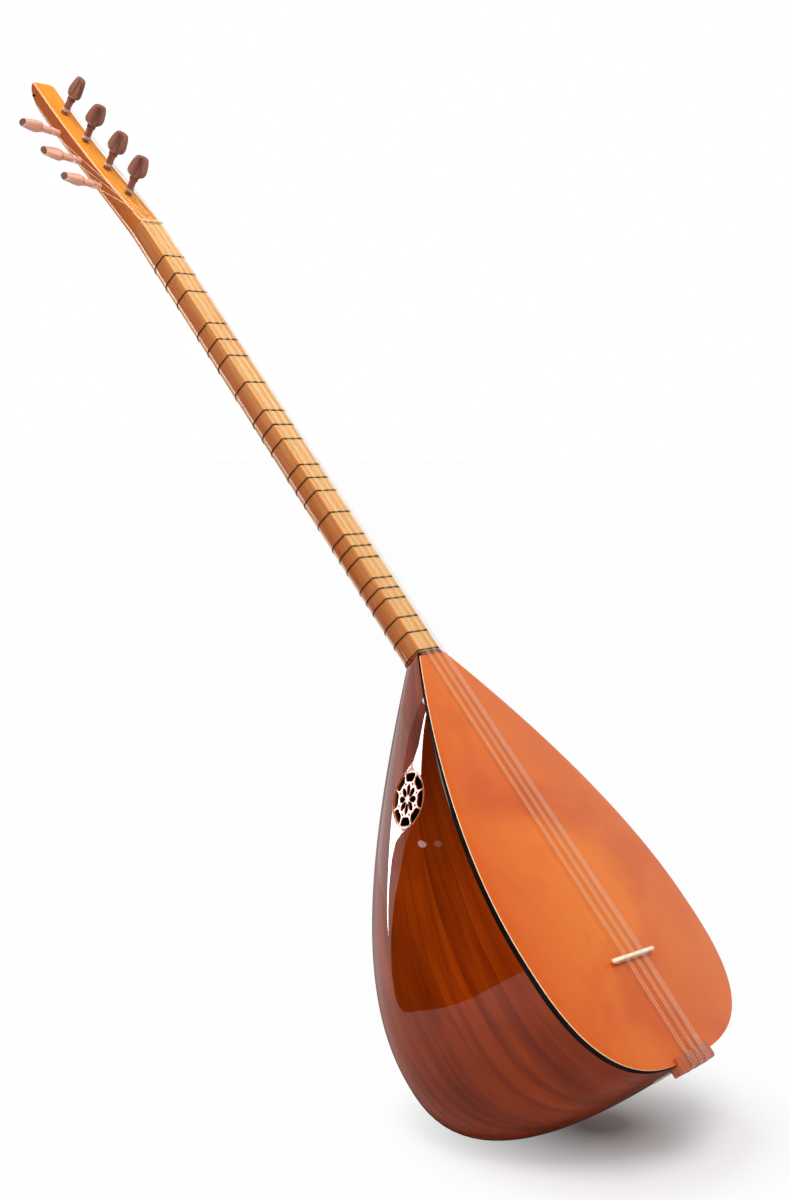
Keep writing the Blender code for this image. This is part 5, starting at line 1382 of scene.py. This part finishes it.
HIGHLIGHT = (
    (-0.090, 0.462), (-0.106, 0.430), (-0.118, 0.409), (-0.138, 0.378), (-0.153, 0.358), (-0.159, 0.336),
    (-0.156, 0.312), (-0.136, 0.292), (-0.119, 0.280), (-0.098, 0.261), (-0.091, 0.235), (-0.092, 0.205),
    (-0.097, 0.170), (-0.104, 0.132), (-0.094, 0.160), (-0.083, 0.205), (-0.073, 0.236),
    (-0.062, 0.266), (-0.056, 0.285), (-0.058, 0.300), (-0.066, 0.325), (-0.086, 0.351), (-0.106, 0.378),
    (-0.108, 0.404), (-0.097, 0.440),
)
DARK_EDGE = ((-0.170, 0.002), (-0.152, 0.006), (-0.134, 0.018), (-0.123, 0.036), (-0.117, 0.075),
             (-0.119, 0.129), (-0.127, 0.182), (-0.140, 0.229), (-0.142, 0.264), (-0.154, 0.300), (-0.159, 0.336), (-0.153, 0.358), (-0.118, 0.409), (-0.090, 0.470), (-0.090, 2.2))
DARK_FOOT = ((-0.17, 0.305), (-0.24, 0.29), (-0.31, 0.26), (-0.41, 0.225), (-0.63, 0.23), (-1.8, 0.2))


def set_studio(sizes):
    """A soft lamp from the front left, weaker ones overhead and at the left, and cards for the gloss of the bowl."""
    scene = bpy.context.scene
    scene.view_settings.view_transform = "Standard"
    studio_floor(sizes.floor_radius)
    surround(0.28, 0.36)
    lamp("overhead", (-0.25, 0.07, 0.957), 2.4, 0.8, 22)
    lamp("key", (-0.50, -0.45, 0.75), 3.0, 1.0, 66).visible_glossy = False
    lamp("left", (-0.30, 1.0, 0.12), 2.6, 0.9, 10).visible_glossy = False
    y = 0.3
    card("tall_softbox", [(x, y, z) for x, z in HIGHLIGHT], 22.0)
    dark = [(x, y + 0.005, z) for x, z in DARK_EDGE] + [(-0.17, y + 0.005, 2.2)]
    card("dark_side", dark, 0.0, DARK_FOOT)
    card("neck_flag", [(x, 0.165, z) for x, z in ((-0.058, 0.380), (-0.004, 0.380), (-0.004, 0.475), (-0.058, 0.475))],
         0.8)
    for name, strength, left, right in (("neck_line", 10.0, -0.105, -0.052), ("neck_shade", 0.04, -0.050, 0.300)):
        strip = [SAZ @ Vector((x, y, -NECK_SIDE)) + Vector((0, 0.245, -0.04))
                 for x, y in ((left, 0.46), (right, 0.46), (right, 1.12), (left, 1.12))]
        card(name, strip, strength)
    card("rear_panel", [(-0.1, 1.2, 0.02), (0.5, 1.2, 0.02), (0.5, 1.2, 1.2), (-0.1, 1.2, 1.2)], 1.05)
    for name, strength, (x, y, z), wide in (("glint", 3.6, (-0.198, 0.292, 0.291), 0.014),
                                            ("faint_glint", 0.8, (-0.240, 0.281, 0.305), 0.012)):
        oval = [polar(1, math.tau * k / 16) for k in range(16)]
        card(name, [(x + wide * at.x, y, z + 0.005 * at.y - 0.15 * wide * at.x) for at in oval], strength)
    right = [SAZ @ Vector(at) for at in ((3.2, -1.5, 3), (8, -1.5, 3), (8, 5, 3), (3.2, 5, 3))]
    card("right_panel", right, 1.0, fade=(3.2, 5.0))
    set_camera()


# Operators and panel


class SAZ_OT_bowl(bpy.types.Operator):
    """Make the lacquered bowl of staves"""
    bl_idname = "saz.bowl"
    bl_label = "Bowl"

    def execute(self, context):
        finish_bowl(context.scene.saz_colours)
        return {"FINISHED"}


class SAZ_OT_board(bpy.types.Operator):
    """Make the soundboard and the black band round it, and finish the wood inside"""
    bl_idname = "saz.board"
    bl_label = "Soundboard"

    def execute(self, context):
        finish_board(context.scene.saz_colours)
        finish_edge()
        finish_inside()
        return {"FINISHED"}


class SAZ_OT_rosettes(bpy.types.Operator):
    """Make the two pierced rosettes"""
    bl_idname = "saz.rosettes"
    bl_label = "Rosettes"

    def execute(self, context):
        finish_rosettes(context.scene.saz_colours, context.scene.saz_sizes)
        return {"FINISHED"}


class SAZ_OT_neck(bpy.types.Operator):
    """Make the neck and the headstock"""
    bl_idname = "saz.neck"
    bl_label = "Neck and headstock"

    def execute(self, context):
        finish_neck(context.scene.saz_colours)
        finish_head(context.scene.saz_colours)
        return {"FINISHED"}


class SAZ_OT_pegs(bpy.types.Operator):
    """Make the seven turning pegs"""
    bl_idname = "saz.pegs"
    bl_label = "Pegs"

    def execute(self, context):
        finish_pegs(context.scene.saz_colours)
        return {"FINISHED"}


class SAZ_OT_frets(bpy.types.Operator):
    """Make the tied frets"""
    bl_idname = "saz.frets"
    bl_label = "Frets"

    def execute(self, context):
        finish_frets(context.scene.saz_sizes)
        return {"FINISHED"}


class SAZ_OT_strings(bpy.types.Operator):
    """Make the seven strings"""
    bl_idname = "saz.strings"
    bl_label = "Strings"

    def execute(self, context):
        finish_strings(context.scene.saz_sizes)
        return {"FINISHED"}


class SAZ_OT_fittings(bpy.types.Operator):
    """Make the nut, the bridge, the tailpiece and the tip's pin"""
    bl_idname = "saz.fittings"
    bl_label = "Fittings"

    def execute(self, context):
        finish_fittings(context.scene.saz_sizes)
        return {"FINISHED"}


class SAZ_OT_studio(bpy.types.Operator):
    """Set the floor, the lamps and the camera"""
    bl_idname = "saz.studio"
    bl_label = "Studio"

    def execute(self, context):
        set_studio(context.scene.saz_sizes)
        return {"FINISHED"}


OPERATORS = (SAZ_OT_bowl, SAZ_OT_board, SAZ_OT_rosettes, SAZ_OT_neck, SAZ_OT_pegs, SAZ_OT_frets, SAZ_OT_strings,
             SAZ_OT_fittings, SAZ_OT_studio)


class SAZ_PT_panel(bpy.types.Panel):
    bl_label = "Saz"
    bl_idname = "SAZ_PT_panel"
    bl_space_type = "VIEW_3D"
    bl_region_type = "UI"
    bl_category = "Saz"

    def draw(self, context):
        column = self.layout.column()
        for group in (context.scene.saz_sizes, context.scene.saz_colours):
            for name in group.__annotations__:
                column.prop(group, name)
        for operator in OPERATORS:
            column.operator(operator.bl_idname)


CLASSES = (SazColours, SazSizes, *OPERATORS, SAZ_PT_panel)


def register():
    for cls in CLASSES:
        bpy.utils.register_class(cls)
    bpy.types.Scene.saz_colours = PointerProperty(type=SazColours)
    bpy.types.Scene.saz_sizes = PointerProperty(type=SazSizes)


def unregister():
    del bpy.types.Scene.saz_sizes
    del bpy.types.Scene.saz_colours
    for cls in reversed(CLASSES):
        bpy.utils.unregister_class(cls)


def main():
    register()
    bpy.ops.saz.bowl()
    bpy.ops.saz.board()
    bpy.ops.saz.rosettes()
    bpy.ops.saz.neck()
    bpy.ops.saz.pegs()
    bpy.ops.saz.frets()
    bpy.ops.saz.strings()
    bpy.ops.saz.fittings()
    bpy.ops.saz.studio()


if __name__ == "__main__":
    main()
